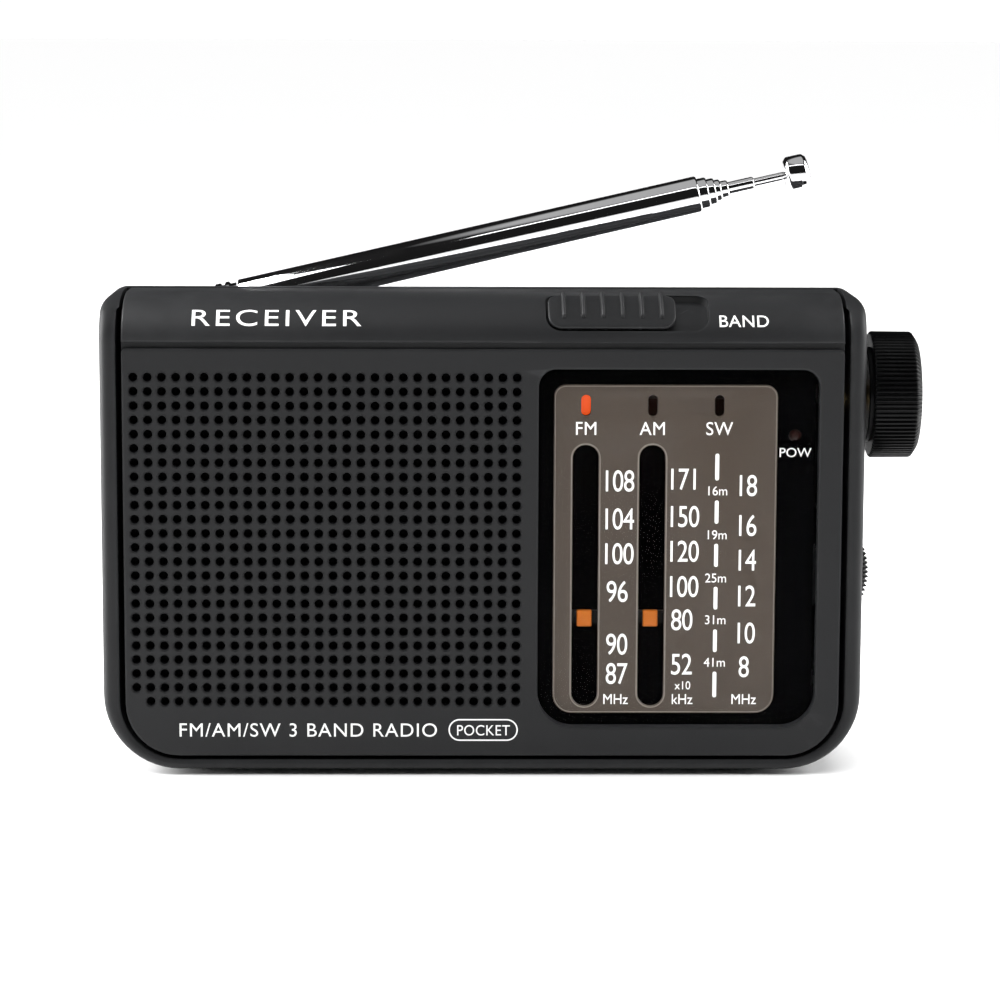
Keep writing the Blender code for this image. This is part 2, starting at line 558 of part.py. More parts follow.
def electronics(build, green, black, silver, ferrite, copper):
    limb = [(39.4, 5.2), (48.5, 5.2), (51.0, 8.0), (51.0, 68.0), (8.0, 68.0), (8.0, 60.8), (39.4, 60.8)]
    build.add("main_board", prism(limb, "Y", *BOARD_Y), green)
    build.add("tuner_chip", block((41.0, PARTS_Y, 46.0), (47.0, PARTS_Y + 1.4, 52.0)), black)
    build.add("amplifier_chip", block((12.0, PARTS_Y, 62.0), (20.0, PARTS_Y + 1.8, 66.0)), black)
    for name, place, radius, back in (("capacitor_large", (44.6, 11.0), 3.1, 7.0),
                                      ("capacitor_small", (30.0, 64.2), 2.4, 5.5)):
        build.add(name, rod("Y", PARTS_Y, back, place, radius, 20), silver)
    build.add("ferrite_rod", rod("X", -38.0, -3.0, AERIAL_ROD, 3.6, 20), ferrite)
    sleeve = [(3.9, -16.0), (4.9, -16.0), (4.9, -6.0), (3.9, -6.0)]
    build.add("ferrite_coil", turned(sleeve, "X", (0, *AERIAL_ROD), 24, True), copper)


def cell_profile(bottom, pole_up):
    """An AA cell's (radius, height) profile, with its small pole on top or below."""
    steps = [(0, 0), (5.5, 0), (6.7, 0.3), (CELL_RADIUS, 0.8), (CELL_RADIUS, CELL_LENGTH - 2.2),
             (6.6, CELL_LENGTH - 1.4), (2.75, CELL_LENGTH - 1.3), (2.6, CELL_LENGTH), (0, CELL_LENGTH)]
    if pole_up:
        return [(r, bottom + along) for r, along in steps]
    return [(r, bottom + CELL_LENGTH - along) for r, along in steps]


def power(build, jacket, steel):
    for name, x, pole_up in (("battery_left", CELL_X[0], True), ("battery_right", CELL_X[1], False)):
        build.add(name, turned(cell_profile(CELL_BOTTOM, pole_up), "Z", (x, CELL_Y, 0), 32), jacket)
    turns, per_turn, wire = 3.0, 12, 0.35
    guide = bpy.data.curves.new("battery_spring", "CURVE")
    guide.dimensions = "3D"
    guide.bevel_depth = wire * MM
    guide.bevel_resolution = 1
    guide.use_fill_caps = True
    line = guide.splines.new("POLY")
    count = int(turns * per_turn)
    line.points.add(count)
    low, high = BAY_Z[0] + GAP + wire, CELL_BOTTOM - GAP - wire
    for step in range(count + 1):
        share = step / count
        radius = 4.6 - 1.8 * share
        turn = 2 * pi * turns * share
        place = (CELL_X[0] + radius * cos(turn), CELL_Y + radius * sin(turn), low + (high - low) * share)
        line.points[step].co = (*(Vector(place) * MM), 1.0)
    spring = bpy.data.objects.new("battery_spring", guide)
    guide.materials.append(steel)
    bpy.context.collection.objects.link(spring)
    spring.parent = build.root
    low = BAY_Z[0] + GAP
    contact = [(0, low), (4.5, low), (4.5, low + 0.4), (2.4, low + 2.6), (1.8, low + 3.0), (0, low + 3.0)]
    build.add("battery_contact", turned(contact, "Z", (CELL_X[1], CELL_Y, 0), 20), steel)
    top = CELL_BOTTOM + CELL_LENGTH + GAP
    build.add("battery_bridge", block((10.5, 1.5, top), (35.4, 10.0, top + 0.4)), steel)


def antenna(build, chrome, dark):
    x, y, z = PIVOT
    floor = LEDGE_Z + GAP
    under, clip = LEDGE_Z - 1.9, STEM_RADIUS + 0.65
    stem = [(0, under - 1.7), (clip, under - 1.7), (clip, under), (STEM_RADIUS, under), (STEM_RADIUS, floor),
            (3.9, floor), (3.9, floor + 0.4), (0, floor + 0.4)]
    base = build.add("antenna_base", turned(stem, "Z", (x, y, 0), 24), dark, (x, y, LEDGE_Z))
    cheek = [(x - 2.5, floor + 0.2), (x + 2.5, floor + 0.2)] + arc((x, z), 2.5, 0, 180, 10)
    for inner, outer in ((-3.1, -1.45), (1.45, 3.1)):
        build.join(base, prism(cheek, "Y", y + inner, y + outer))
    build.cut(base, rod("Y", y - 5, y + 5, (x, z), PIN_RADIUS + GAP, 16))
    build.add("antenna_pin", rod("Y", y - 3.1, y + 3.1, (x, z), PIN_RADIUS, 16), chrome, (x, y, z))

    arm = bpy.data.objects.new("antenna_arm", None)
    arm.parent = build.root
    arm.location = Vector(PIVOT) * MM
    arm.rotation_euler = (0, radians(-REST_TILT), 0)
    bpy.context.collection.objects.link(arm)

    tongue = arc((0, 0), 2.4, 90, 270, 10) + [(5.6, -2.4), (5.6, 2.4)]
    knuckle = build.add("antenna_knuckle", prism(tongue, "Y", -1.15, 1.15), chrome)
    ferrule = [(0, 4.6), (2.6, 4.6), (3.2, 5.0), (3.2, 5.8), (2.8, 6.0), (2.8, 6.3), (3.2, 6.5), (3.2, 7.2),
               (2.8, 7.4), (2.8, 8.3), (0, 8.3)]
    build.join(knuckle, turned(ferrule, "X", (0, 0, 0), 24))
    build.cut(knuckle, rod("Y", -3, 3, (0, 0), PIN_RADIUS + GAP, 16))
    riders = [knuckle] + [modifier.object for modifier in knuckle.modifiers]
    for number, outer in enumerate(SECTION_RADII, 1):
        start, end = SECTION_STARTS[number - 1], SECTION_ENDS[number - 1]
        if number == len(SECTION_RADII):
            shape = rod("X", start, end - GAP, (0, 0), outer, 16)
        else:
            bore = SECTION_RADII[number] + TUBE_CLEARANCE
            shape = turned([(bore, start), (outer, start), (outer, end - 0.3), (bore + 0.05, end)], "X",
                           (0, 0, 0), 24, True)
        riders.append(build.add(f"antenna_section_{number}", shape, chrome))
    start, end = SECTION_ENDS[-1], SECTION_ENDS[-1] + TIP_LENGTH
    button = [(0, start), (TIP_RADIUS - 0.5, start), (TIP_RADIUS, start + 0.5), (TIP_RADIUS, end - 0.8),
              (TIP_RADIUS - 0.4, end - 0.2), (TIP_RADIUS - 1.2, end), (0, end)]
    riders.append(build.add("antenna_tip", turned(button, "X", (0, 0, 0), 32), chrome))
    for rider in riders:
        rider.parent = arm


def main():
    clear_scene()
    build = Build()
    charcoal = make_material("charcoal_plastic", (0.045, 0.047, 0.05), 0.55)
    black = make_material("black_plastic", (0.012, 0.012, 0.013), 0.4)
    soft_black = make_material("soft_black", (0.015, 0.015, 0.016), 0.6)
    taupe = make_material("taupe_print", (0.13, 0.11, 0.09), 0.45)
    clear = make_material("clear_lens", (0.9, 0.9, 0.9), 0.05, alpha=0.25)
    orange = make_material("orange_plastic", (0.85, 0.25, 0.03), 0.45)
    red = make_material("red_lens", (0.25, 0.03, 0.02), 0.2)
    chrome = make_material("chrome_plate", (0.75, 0.75, 0.76), 0.08, 1.0)
    steel = make_material("zinc_steel", (0.55, 0.56, 0.57), 0.35, 1.0)
    brass = make_material("brass", (0.7, 0.5, 0.2), 0.3, 1.0)
    grey = make_material("grey_plastic", (0.18, 0.18, 0.19), 0.6)
    green = make_material("board_green", (0.03, 0.2, 0.08), 0.5)
    ferrite = make_material("ferrite", (0.05, 0.05, 0.055), 0.7)
    copper = make_material("copper_wire", (0.7, 0.3, 0.12), 0.35, 1.0)
    paper = make_material("cone_paper", (0.05, 0.05, 0.05), 0.9)
    jacket = make_material("cell_jacket", (0.1, 0.25, 0.5), 0.35)

    front_cover(build, charcoal)
    rear_shell(build, charcoal)
    feet(build, soft_black)
    battery_door(build, charcoal)
    case_screws(build, steel)
    dial(build, clear, taupe, soft_black, red)
    pointer_drive(build, orange, grey, steel, brass, black, paper)
    band_switch(build, black, orange, grey)
    volume(build, black, grey)
    sound(build, soft_black, steel, paper, black, ferrite)
    electronics(build, green, soft_black, grey, ferrite, copper)
    power(build, jacket, steel)
    antenna(build, chrome, black)
    bpy.context.view_layer.update()


main()
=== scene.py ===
# %% [markdown]
# # A pocket shortwave receiver
# This lesson dresses a finished mechanical model. The CAD frame already holds every part in its place, and
# every joint works. Blender's job is the looks: fine grille holes, ribs, rolled tube ends, printing and the
# surface of each material. Every length below is in millimetres, because that is how such a case is drawn.

import json
from math import cos, pi, radians, sin, sqrt

import bmesh
import bpy
from mathutils import Matrix, Vector


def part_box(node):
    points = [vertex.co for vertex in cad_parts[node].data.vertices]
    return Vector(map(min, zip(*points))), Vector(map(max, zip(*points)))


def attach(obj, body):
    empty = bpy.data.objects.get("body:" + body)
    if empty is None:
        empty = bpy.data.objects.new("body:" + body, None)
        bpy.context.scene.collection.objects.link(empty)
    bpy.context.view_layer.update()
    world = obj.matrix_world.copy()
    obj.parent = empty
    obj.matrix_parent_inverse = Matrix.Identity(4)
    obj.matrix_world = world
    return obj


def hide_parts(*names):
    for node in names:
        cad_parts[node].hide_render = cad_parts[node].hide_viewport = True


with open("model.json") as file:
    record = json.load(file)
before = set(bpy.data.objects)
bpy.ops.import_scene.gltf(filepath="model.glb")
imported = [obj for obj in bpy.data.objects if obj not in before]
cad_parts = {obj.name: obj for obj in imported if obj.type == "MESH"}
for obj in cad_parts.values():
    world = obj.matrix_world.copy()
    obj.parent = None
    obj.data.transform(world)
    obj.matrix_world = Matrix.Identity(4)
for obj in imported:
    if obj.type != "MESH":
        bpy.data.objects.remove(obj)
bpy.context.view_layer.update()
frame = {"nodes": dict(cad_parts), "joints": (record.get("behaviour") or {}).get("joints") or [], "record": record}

# %% [markdown]
# ## One place for all measures
# The case is symmetrical, but the knob on its side is not, so the world's origin is not in the case's
# middle. It is much easier to draw a symmetrical thing around zero. So all the drawing below counts X from
# the middle of the case, and Z from a line just below the surface that it stands on. One helper moves each
# finished mesh to its place in the frame.

# %% Read driving sizes from the frame
MM = 0.001
shell_low, shell_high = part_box("rear_shell")
DRAWN_GROUND = 0.94                        # height of the standing surface in the drawing
MIDDLE = Vector(((shell_low.x + shell_high.x) / 2, 0, -DRAWN_GROUND * MM))


def box_mm(node):
    """A part's lowest and highest corners in millimetres, with X counted from the middle of the case."""
    low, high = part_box(node)
    return (low - MIDDLE) / MM, (high - MIDDLE) / MM


def point_mm(place):
    """A point of the frame, in metres, as a point in the drawing's millimetres."""
    return (Vector(place) - MIDDLE) / MM


shell_low, shell_high = box_mm("rear_shell")
cover_low, cover_high = box_mm("front_cover")
joints = {joint["name"]: joint for joint in frame["joints"]}
CASE_HALF = shell_high.x
CASE_FRONT, CASE_BACK, CASE_TOP = shell_low.y, shell_high.y, shell_high.z
CASE_BOTTOM = shell_low.z                  # two low feet lift it a little above the ground
FACE_HALF, FACE_BOTTOM = cover_high.x, cover_low.z
print(f"case {2 * CASE_HALF:.1f} wide, {CASE_BACK - CASE_FRONT:.1f} deep, {CASE_TOP:.1f} high")

# %% [markdown]
# ## Drawing helpers
# Almost every moulded part here is an outline that is swept, stepped in and stepped down. A ring of points
# is the unit: `skin` lays faces between rings. `rounded_rect` gives rings with equal point counts whatever
# the inset, so an edge can be rounded by stacking a few of them. That is cheaper and cleaner than a Bevel
# modifier on a finished shape, and it never makes stray faces.

# %% Outlines and skins


def arc(centre, radius, first, last, steps):
    """Points along an arc, in degrees; a pair of radii makes it elliptical."""
    wide, high = radius if isinstance(radius, tuple) else (radius, radius)
    turns = [radians(first + (last - first) * step / steps) for step in range(steps + 1)]
    return [(centre[0] + wide * cos(turn), centre[1] + high * sin(turn)) for turn in turns]


def rounded_rect(x_range, z_range, radii, inset=0.0, steps=10):
    """Rounded rectangle, counter-clockwise from its lower left; radii are the bottom and top corners'."""
    left, right = x_range[0] + inset, x_range[1] - inset
    low, high = z_range[0] + inset, z_range[1] - inset
    bottom, top = (max(radius - inset, 0.05) for radius in radii)
    return (arc((left + bottom, low + bottom), bottom, 180, 270, steps)
            + arc((right - bottom, low + bottom), bottom, 270, 360, steps)
            + arc((right - top, high - top), top, 0, 90, steps)
            + arc((left + top, high - top), top, 90, 180, steps))


def edge_round(size, steps=4):
    """A quarter round as (inset, depth) pairs, from the flat to the side."""
    turns = [radians(90 * step / steps) for step in range(steps + 1)]
    return [(size * (1 - sin(turn)), size * (1 - cos(turn))) for turn in turns]


def standing(outline, y):
    """A flat outline of (x, z) stood up at a depth y."""
    return [(x, y, z) for x, z in outline]


def skin(shape, rings, closed=True):
    """Adds faces between rings of equal length, and gives back the rows of points."""
    rows = [[shape.verts.new(point) for point in ring] for ring in rings]
    join_rows(shape, rows, closed)
    return rows


def join_rows(shape, rows, closed=True):
    count = len(rows[0])
    for row, following in zip(rows, rows[1:]):
        for k in range(count if closed else count - 1):
            after = (k + 1) % count
            shape.faces.new((row[k], row[after], following[after], following[k]))


def turned(profile, steps=48, ribs=0, rib_depth=0.0, rib_shape=(0,)):
    """Spins (along, radius) or (along, radius, rib share) about the local X axis, with ribs if wanted."""
    shape = bmesh.new()
    count = ribs * len(rib_shape) if ribs else steps
    rows = []
    for along, radius, *share in profile:
        depth = rib_depth * (share[0] if share else 0.0)
        ring = []
        for k in range(count):
            reach = radius - depth * rib_shape[k % len(rib_shape)]
            turn = 2 * pi * k / count
            ring.append((along, reach * cos(turn), reach * sin(turn)))
        rows.append(ring if radius > 0 else [(along, 0.0, 0.0)])
    made = [[shape.verts.new(point) for point in ring] for ring in rows]
    for row, following in zip(made, made[1:]):
        for k in range(count):
            after = (k + 1) % count
            ring = [row[k % len(row)], row[after % len(row)], following[after % len(following)],
                    following[k % len(following)]]
            corners = list(dict.fromkeys(ring))
            if len(corners) > 2:               # two points on the axis make no face
                shape.faces.new(corners)
    return shape


print("drawing helpers ready")

# %% [markdown]
# ## Turning a drawing into a piece
# `finish_piece` is the only door into the scene. It scales the drawing to metres, shades it smooth with
# crisp edges where faces meet at a steep angle, gives it its finish, says which body it rides on and
# hides the plain CAD parts it stands for.

# %% The piece maker


def smooth(mesh, below):
    mesh.shade_smooth()
    mesh.set_sharp_from_angle(angle=radians(below))


def finish_piece(name, shape, finish, body="case", stands_for=(), below=35, place=None):
    """Makes an object from a drawing in millimetres; place is a matrix in the same millimetres."""
    if place is not None:
        bmesh.ops.transform(shape, matrix=place, verts=shape.verts[:])
    bmesh.ops.recalc_face_normals(shape, faces=shape.faces[:])
    bmesh.ops.scale(shape, vec=(MM, MM, MM), verts=shape.verts[:])
    bmesh.ops.translate(shape, vec=MIDDLE, verts=shape.verts[:])
    mesh = bpy.data.meshes.new(name)
    shape.to_mesh(mesh)
    shape.free()
    smooth(mesh, below)
    mesh.materials.append(finish)
    piece = bpy.data.objects.new(name, mesh)
    bpy.context.scene.collection.objects.link(piece)
    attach(piece, body)
    if stands_for:
        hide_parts(*stands_for)
    print(f"{name}: {len(mesh.polygons)} faces on {body}")
    return piece


def along_axis(axis, centre):
    """A matrix that lays the local X axis of a turned drawing along a world axis, through a centre."""
    turn = Vector((1, 0, 0)).rotation_difference(Vector(axis)).to_matrix().to_4x4()
    return Matrix.Translation(centre) @ turn


# %% [markdown]
# ## Camera and studio
# The receiver is seen almost straight from the front, from a little above, through a long lens. It stands
# on plain white, lit by soft boxes. Chrome shows what is around it and nothing else, so the room matters as
# much as the lamps: the world is white for the camera, but its reflections and its light come from a darker
# sky.

# %% Camera
CAMERA_PLACE = Vector((-0.00964, -0.51613, 0.11762))
CAMERA_AIM = Vector((-0.00166, 0.0, 0.04176))
CAMERA_ROLL = radians(0.213)
camera = bpy.data.objects.new("camera", bpy.data.cameras.new("camera"))
bpy.context.scene.collection.objects.link(camera)
camera.data.lens = 117.36
camera.data.sensor_width = 36
camera.data.clip_start, camera.data.clip_end = 0.02, 60
camera.location = CAMERA_PLACE
look = (CAMERA_AIM - CAMERA_PLACE).to_track_quat("-Z", "Y").to_matrix()
camera.rotation_euler = (look @ Matrix.Rotation(CAMERA_ROLL, 3, "Z")).to_euler()
bpy.context.scene.camera = camera
bpy.context.scene.view_settings.view_transform = "Standard"
print("camera", tuple(round(value, 3) for value in camera.location))

# %% Floor
floor_shape = bmesh.new()
bmesh.ops.create_circle(floor_shape, cap_ends=True, radius=20.0, segments=64)
floor_mesh = bpy.data.meshes.new("studio_floor")
floor_shape.to_mesh(floor_mesh)
floor_shape.free()
floor = bpy.data.objects.new("studio_floor", floor_mesh)
bpy.context.scene.collection.objects.link(floor)
paper = bpy.data.materials.new("white_paper")
paper.use_nodes = True
paper_shader = paper.node_tree.nodes["Principled BSDF"]
paper_shader.inputs["Base Color"].default_value = (0.93, 0.93, 0.93, 1)
paper_shader.inputs["Roughness"].default_value = 0.6
floor_mesh.materials.append(paper)

# %% World: white to the eye, a soft grey sky to the objects
world = bpy.data.worlds.new("studio")
bpy.context.scene.world = world
world.use_nodes = True
sky = world.node_tree
sky.nodes.clear()
output = sky.nodes.new("ShaderNodeOutputWorld")
path = sky.nodes.new("ShaderNodeLightPath")
mix = sky.nodes.new("ShaderNodeMixShader")
white = sky.nodes.new("ShaderNodeBackground")
white.inputs["Color"].default_value = (1, 1, 1, 1)
white.inputs["Strength"].default_value = 1.05
room = sky.nodes.new("ShaderNodeBackground")
height = sky.nodes.new("ShaderNodeSeparateXYZ")
direction = sky.nodes.new("ShaderNodeTexCoord")
ramp = sky.nodes.new("ShaderNodeValToRGB")
ramp.color_ramp.elements[0].position = 0.82
ramp.color_ramp.elements[0].color = (0.012, 0.012, 0.012, 1)
ramp.color_ramp.elements[1].position = 0.9
ramp.color_ramp.elements[1].color = (0.5, 0.5, 0.5, 1)
sky.links.new(direction.outputs["Generated"], height.inputs["Vector"])
sky.links.new(height.outputs["Z"], ramp.inputs["Fac"])
sky.links.new(ramp.outputs["Color"], room.inputs["Color"])
room.inputs["Strength"].default_value = 1.0
sky.links.new(path.outputs["Is Camera Ray"], mix.inputs["Fac"])
sky.links.new(room.outputs["Background"], mix.inputs[1])
sky.links.new(white.outputs["Background"], mix.inputs[2])
sky.links.new(mix.outputs["Shader"], output.inputs["Surface"])

# %% Soft boxes


def soft_box(name, place, aim, size, power):
    lamp = bpy.data.lights.new(name, "AREA")
    lamp.shape = "RECTANGLE"
    lamp.size, lamp.size_y = size
    lamp.energy = power
    box = bpy.data.objects.new(name, lamp)
    bpy.context.scene.collection.objects.link(box)
    box.location = place
    box.rotation_euler = (Vector(aim) - Vector(place)).to_track_quat("-Z", "Y").to_euler()
    return box


RADIO = (0, 0, 0.04)
soft_box("box_left", (-0.8, -0.12, 0.3), RADIO, (0.35, 0.8), 4)
soft_box("box_right", (0.8, -0.3, 0.3), RADIO, (0.3, 0.8), 3)
soft_box("edge_left", (-0.7, 0.16, 0.25), RADIO, (0.3, 0.8), 15)
soft_box("edge_right", (0.7, 0.16, 0.25), RADIO, (0.3, 0.8), 7)
soft_box("strip_front", (-0.1, -0.67, 1.07), RADIO, (1.2, 0.1), 1.2)
back = soft_box("box_back", (0, 0.9, 0.5), RADIO, (1.2, 0.6), 4)
back.visible_glossy = False                # the top band would mirror it
ceiling_light = bpy.data.lights.new("ceiling_light", "SUN")
ceiling_light.energy = 3.6
ceiling_light.angle = radians(70)
ceiling = bpy.data.objects.new("ceiling_light", ceiling_light)
ceiling.rotation_euler = (radians(12), radians(-6), 0)
ceiling.visible_glossy = False             # it lights the room, but chrome doesn't show it
bpy.context.scene.collection.objects.link(ceiling)
print("studio ready")

# %% [markdown]
# ## Shared surface effects
# Moulded plastic is never one flat colour. The mould's spark-eroded skin breaks up the highlight, and slow
# variations in the melt change its tone. Both go into one node group, which every plastic uses with its own
# values. A second group gives metals their fine draw lines.

# %% Node group helpers


def new_group(name, inputs, outputs):
    """A shader group with float or colour inputs (name, default) and outputs (name, socket kind)."""
    group = bpy.data.node_groups.new(name, "ShaderNodeTree")
    for label, default in inputs:
        kind = "NodeSocketColor" if isinstance(default, tuple) else "NodeSocketFloat"
        socket = group.interface.new_socket(label, in_out="INPUT", socket_type=kind)
        socket.default_value = default
    for label, kind in outputs:
        group.interface.new_socket(label, in_out="OUTPUT", socket_type=kind)
    return group, group.nodes.new("NodeGroupInput"), group.nodes.new("NodeGroupOutput")


def add_node(tree, kind, settings=None, **values):
    """A node with some sockets set by value or linked from other sockets; spaces in names are underscores."""
    node = tree.nodes.new(kind)
    for label, value in (settings or {}).items():
        setattr(node, label, value)
    for label, value in values.items():
        socket = node.inputs[int(label[1:])] if label[0] == "_" else node.inputs[label.replace("_", " ")]
        if isinstance(value, bpy.types.NodeSocket):
            tree.links.new(value, socket)
        else:
            socket.default_value = value
    return node


def maths(tree, operation, first, second=0.0, third=0.0):
    return add_node(tree, "ShaderNodeMath", {"operation": operation}, _0=first, _1=second,
                    _2=third).outputs["Value"]


def tinted(tree, colour, brightness):
    """The colour times a brightness that varies over the surface."""
    node = add_node(tree, "ShaderNodeVectorMath", {"operation": "SCALE"}, _0=colour)
    tree.links.new(brightness, node.inputs["Scale"])
    return node.outputs["Vector"]


# %% Moulded skin
skin_group, skin_in, skin_out = new_group(
    "moulded_skin",
    [("Colour", (0.05, 0.05, 0.05, 1)), ("Roughness", 0.5), ("Grain size", 0.3), ("Grain depth", 0.01),
     ("Mottle", 0.06)],
    [("Colour", "NodeSocketColor"), ("Roughness", "NodeSocketFloat"), ("Normal", "NodeSocketVector")])
where = add_node(skin_group, "ShaderNodeTexCoord").outputs["Object"]
per_metre = maths(skin_group, "DIVIDE", 1000.0, skin_in.outputs["Grain size"])
grain = add_node(skin_group, "ShaderNodeTexNoise", Vector=where, Scale=per_metre, Detail=3.0, Roughness=0.6)
melt = add_node(skin_group, "ShaderNodeTexNoise", Vector=where, Scale=90.0, Detail=4.0, Roughness=0.55)
depth = maths(skin_group, "MULTIPLY", skin_in.outputs["Grain depth"], MM)
bump = add_node(skin_group, "ShaderNodeBump", Height=grain.outputs["Fac"], Distance=depth, Strength=1.0)
swing = maths(skin_group, "SUBTRACT", melt.outputs["Fac"], 0.5)
tone = maths(skin_group, "MULTIPLY_ADD", swing, skin_in.outputs["Mottle"], 1.0)
speck = maths(skin_group, "SUBTRACT", grain.outputs["Fac"], 0.5)
fleck = maths(skin_group, "MULTIPLY_ADD", speck, 0.3, tone)
skin_group.links.new(tinted(skin_group, skin_in.outputs["Colour"], fleck), skin_out.inputs["Colour"])
rough = maths(skin_group, "MULTIPLY_ADD", swing, 0.25, skin_in.outputs["Roughness"])
skin_group.links.new(rough, skin_out.inputs["Roughness"])
skin_group.links.new(bump.outputs["Normal"], skin_out.inputs["Normal"])

# %% Drawn metal: fine lines along one axis and faint tarnish
metal_group, metal_in, metal_out = new_group(
    "drawn_metal",
    [("Colour", (0.8, 0.8, 0.8, 1)), ("Roughness", 0.1), ("Line size", 0.2), ("Line depth", 0.001),
     ("Stretch", 30.0)],
    [("Colour", "NodeSocketColor"), ("Roughness", "NodeSocketFloat"), ("Normal", "NodeSocketVector")])
where = add_node(metal_group, "ShaderNodeTexCoord").outputs["Object"]
parts = add_node(metal_group, "ShaderNodeSeparateXYZ", Vector=where)
shrunk = maths(metal_group, "DIVIDE", parts.outputs["X"], metal_in.outputs["Stretch"])
drawn = add_node(metal_group, "ShaderNodeCombineXYZ", X=shrunk, Y=parts.outputs["Y"], Z=parts.outputs["Z"])
per_metre = maths(metal_group, "DIVIDE", 1000.0, metal_in.outputs["Line size"])
lines = add_node(metal_group, "ShaderNodeTexNoise", Vector=drawn.outputs["Vector"], Scale=per_metre,
                 Detail=2.0)
tarnish = add_node(metal_group, "ShaderNodeTexNoise", Vector=where, Scale=140.0, Detail=5.0, Roughness=0.65)
depth = maths(metal_group, "MULTIPLY", metal_in.outputs["Line depth"], MM)
bump = add_node(metal_group, "ShaderNodeBump", Height=lines.outputs["Fac"], Distance=depth, Strength=1.0)
swing = maths(metal_group, "SUBTRACT", tarnish.outputs["Fac"], 0.5)
tone = maths(metal_group, "MULTIPLY_ADD", swing, 0.12, 1.0)
metal_group.links.new(tinted(metal_group, metal_in.outputs["Colour"], tone), metal_out.inputs["Colour"])
rough = maths(metal_group, "MULTIPLY_ADD", swing, 0.1, metal_in.outputs["Roughness"])
metal_group.links.new(maths(metal_group, "MAXIMUM", rough, 0.02), metal_out.inputs["Roughness"])
metal_group.links.new(bump.outputs["Normal"], metal_out.inputs["Normal"])

# %% Edge wear and sheen: corners polished by hands, lightened partly as wear and partly as a painted highlight
wear_and_sheen_group, wear_and_sheen_in, wear_and_sheen_out = new_group(
    "edge_wear_and_sheen", [("Amount", 0.5), ("Patch size", 4.0)], [("Mask", "NodeSocketFloat")])
bend = add_node(wear_and_sheen_group, "ShaderNodeNewGeometry").outputs["Pointiness"]
corner = add_node(wear_and_sheen_group, "ShaderNodeMapRange", Value=bend, From_Min=0.515, From_Max=0.58)
where = add_node(wear_and_sheen_group, "ShaderNodeTexCoord").outputs["Object"]
per_metre = maths(wear_and_sheen_group, "DIVIDE", 1000.0, wear_and_sheen_in.outputs["Patch size"])
patches = add_node(wear_and_sheen_group, "ShaderNodeTexNoise", Vector=where, Scale=per_metre, Detail=5.0)
wear_and_sheen_patches = add_node(wear_and_sheen_group, "ShaderNodeMapRange", Value=patches.outputs["Fac"], From_Min=0.35,
                  From_Max=0.65)
mask = maths(wear_and_sheen_group, "MULTIPLY", corner.outputs["Result"], wear_and_sheen_patches.outputs["Result"])
wear_and_sheen_group.links.new(maths(wear_and_sheen_group, "MULTIPLY", mask, wear_and_sheen_in.outputs["Amount"]), wear_and_sheen_out.inputs["Mask"])

# %% Weave: threads that pass over and under each other, with painted shade between them
weave_group, weave_in, weave_out = new_group(
    "weave", [("Colour", (0.02, 0.02, 0.02, 1)), ("Thread", 0.3), ("Depth", 0.05)],
    [("Colour", "NodeSocketColor"), ("Normal", "NodeSocketVector")])
parts = add_node(weave_group, "ShaderNodeSeparateXYZ",
                 Vector=add_node(weave_group, "ShaderNodeTexCoord").outputs["Object"])
beat = maths(weave_group, "DIVIDE", 1000.0 * pi, weave_in.outputs["Thread"])
warp = maths(weave_group, "SINE", maths(weave_group, "MULTIPLY", parts.outputs["X"], beat))
weft = maths(weave_group, "SINE", maths(weave_group, "MULTIPLY", parts.outputs["Z"], beat))
raised = maths(weave_group, "MULTIPLY_ADD", maths(weave_group, "MULTIPLY", warp, weft), 0.5, 0.5)
depth = maths(weave_group, "MULTIPLY", weave_in.outputs["Depth"], MM)
bump = add_node(weave_group, "ShaderNodeBump", Height=raised, Distance=depth, Strength=1.0)
# The colour is painted shade: lighter on the threads' crests, darker in the hollows between them.
painted_thread_shade = maths(weave_group, "MULTIPLY_ADD", raised, 0.7, 0.5)
weave_group.links.new(tinted(weave_group, weave_in.outputs["Colour"], painted_thread_shade), weave_out.inputs["Colour"])
weave_group.links.new(bump.outputs["Normal"], weave_out.inputs["Normal"])
print("node groups:", [group.name for group in bpy.data.node_groups])

# %% Finishes made from the groups


def new_finish(name):
    finish = bpy.data.materials.new(name)
    finish.use_nodes = True
    return finish, finish.node_tree, finish.node_tree.nodes["Principled BSDF"]


def with_group(name, group, colour, metallic=0.0, specular=0.5, **values):
    """A Principled finish whose colour, roughness and normal come from a shared group."""
    finish, tree, shader = new_finish(name)
    effect = tree.nodes.new("ShaderNodeGroup")
    effect.node_tree = group
    effect.inputs["Colour"].default_value = (*colour, 1)
    for label, value in values.items():
        effect.inputs[label.replace("_", " ")].default_value = value
    tree.links.new(effect.outputs["Colour"], shader.inputs["Base Color"])
    tree.links.new(effect.outputs["Roughness"], shader.inputs["Roughness"])
    tree.links.new(effect.outputs["Normal"], shader.inputs["Normal"])
    shader.inputs["Metallic"].default_value = metallic
    shader.inputs["Specular IOR Level"].default_value = specular
    return finish


def add_wear_and_sheen(finish, colour, amount):
    """Lays the wear and sheen group over a finish: corners get a lighter colour, part wear, part painted
    highlight.
    """
    tree = finish.node_tree
    shader = tree.nodes["Principled BSDF"]
    wear_and_sheen_node = tree.nodes.new("ShaderNodeGroup")
    wear_and_sheen_node.node_tree = wear_and_sheen_group
    wear_and_sheen_node.inputs["Amount"].default_value = amount
    mask = wear_and_sheen_node.outputs["Mask"]
    plain = shader.inputs["Base Color"].links[0].from_socket
    blend = tree.nodes.new("ShaderNodeMix")
    blend.data_type = "RGBA"
    tree.links.new(mask, blend.inputs["Factor"])
    tree.links.new(plain, blend.inputs["A"])
    blend.inputs["B"].default_value = (*colour, 1)
    tree.links.new(blend.outputs["Result"], shader.inputs["Base Color"])
    rough = shader.inputs["Roughness"].links[0].from_socket
    tree.links.new(maths(tree, "MULTIPLY_ADD", mask, -0.2, rough), shader.inputs["Roughness"])
    return finish


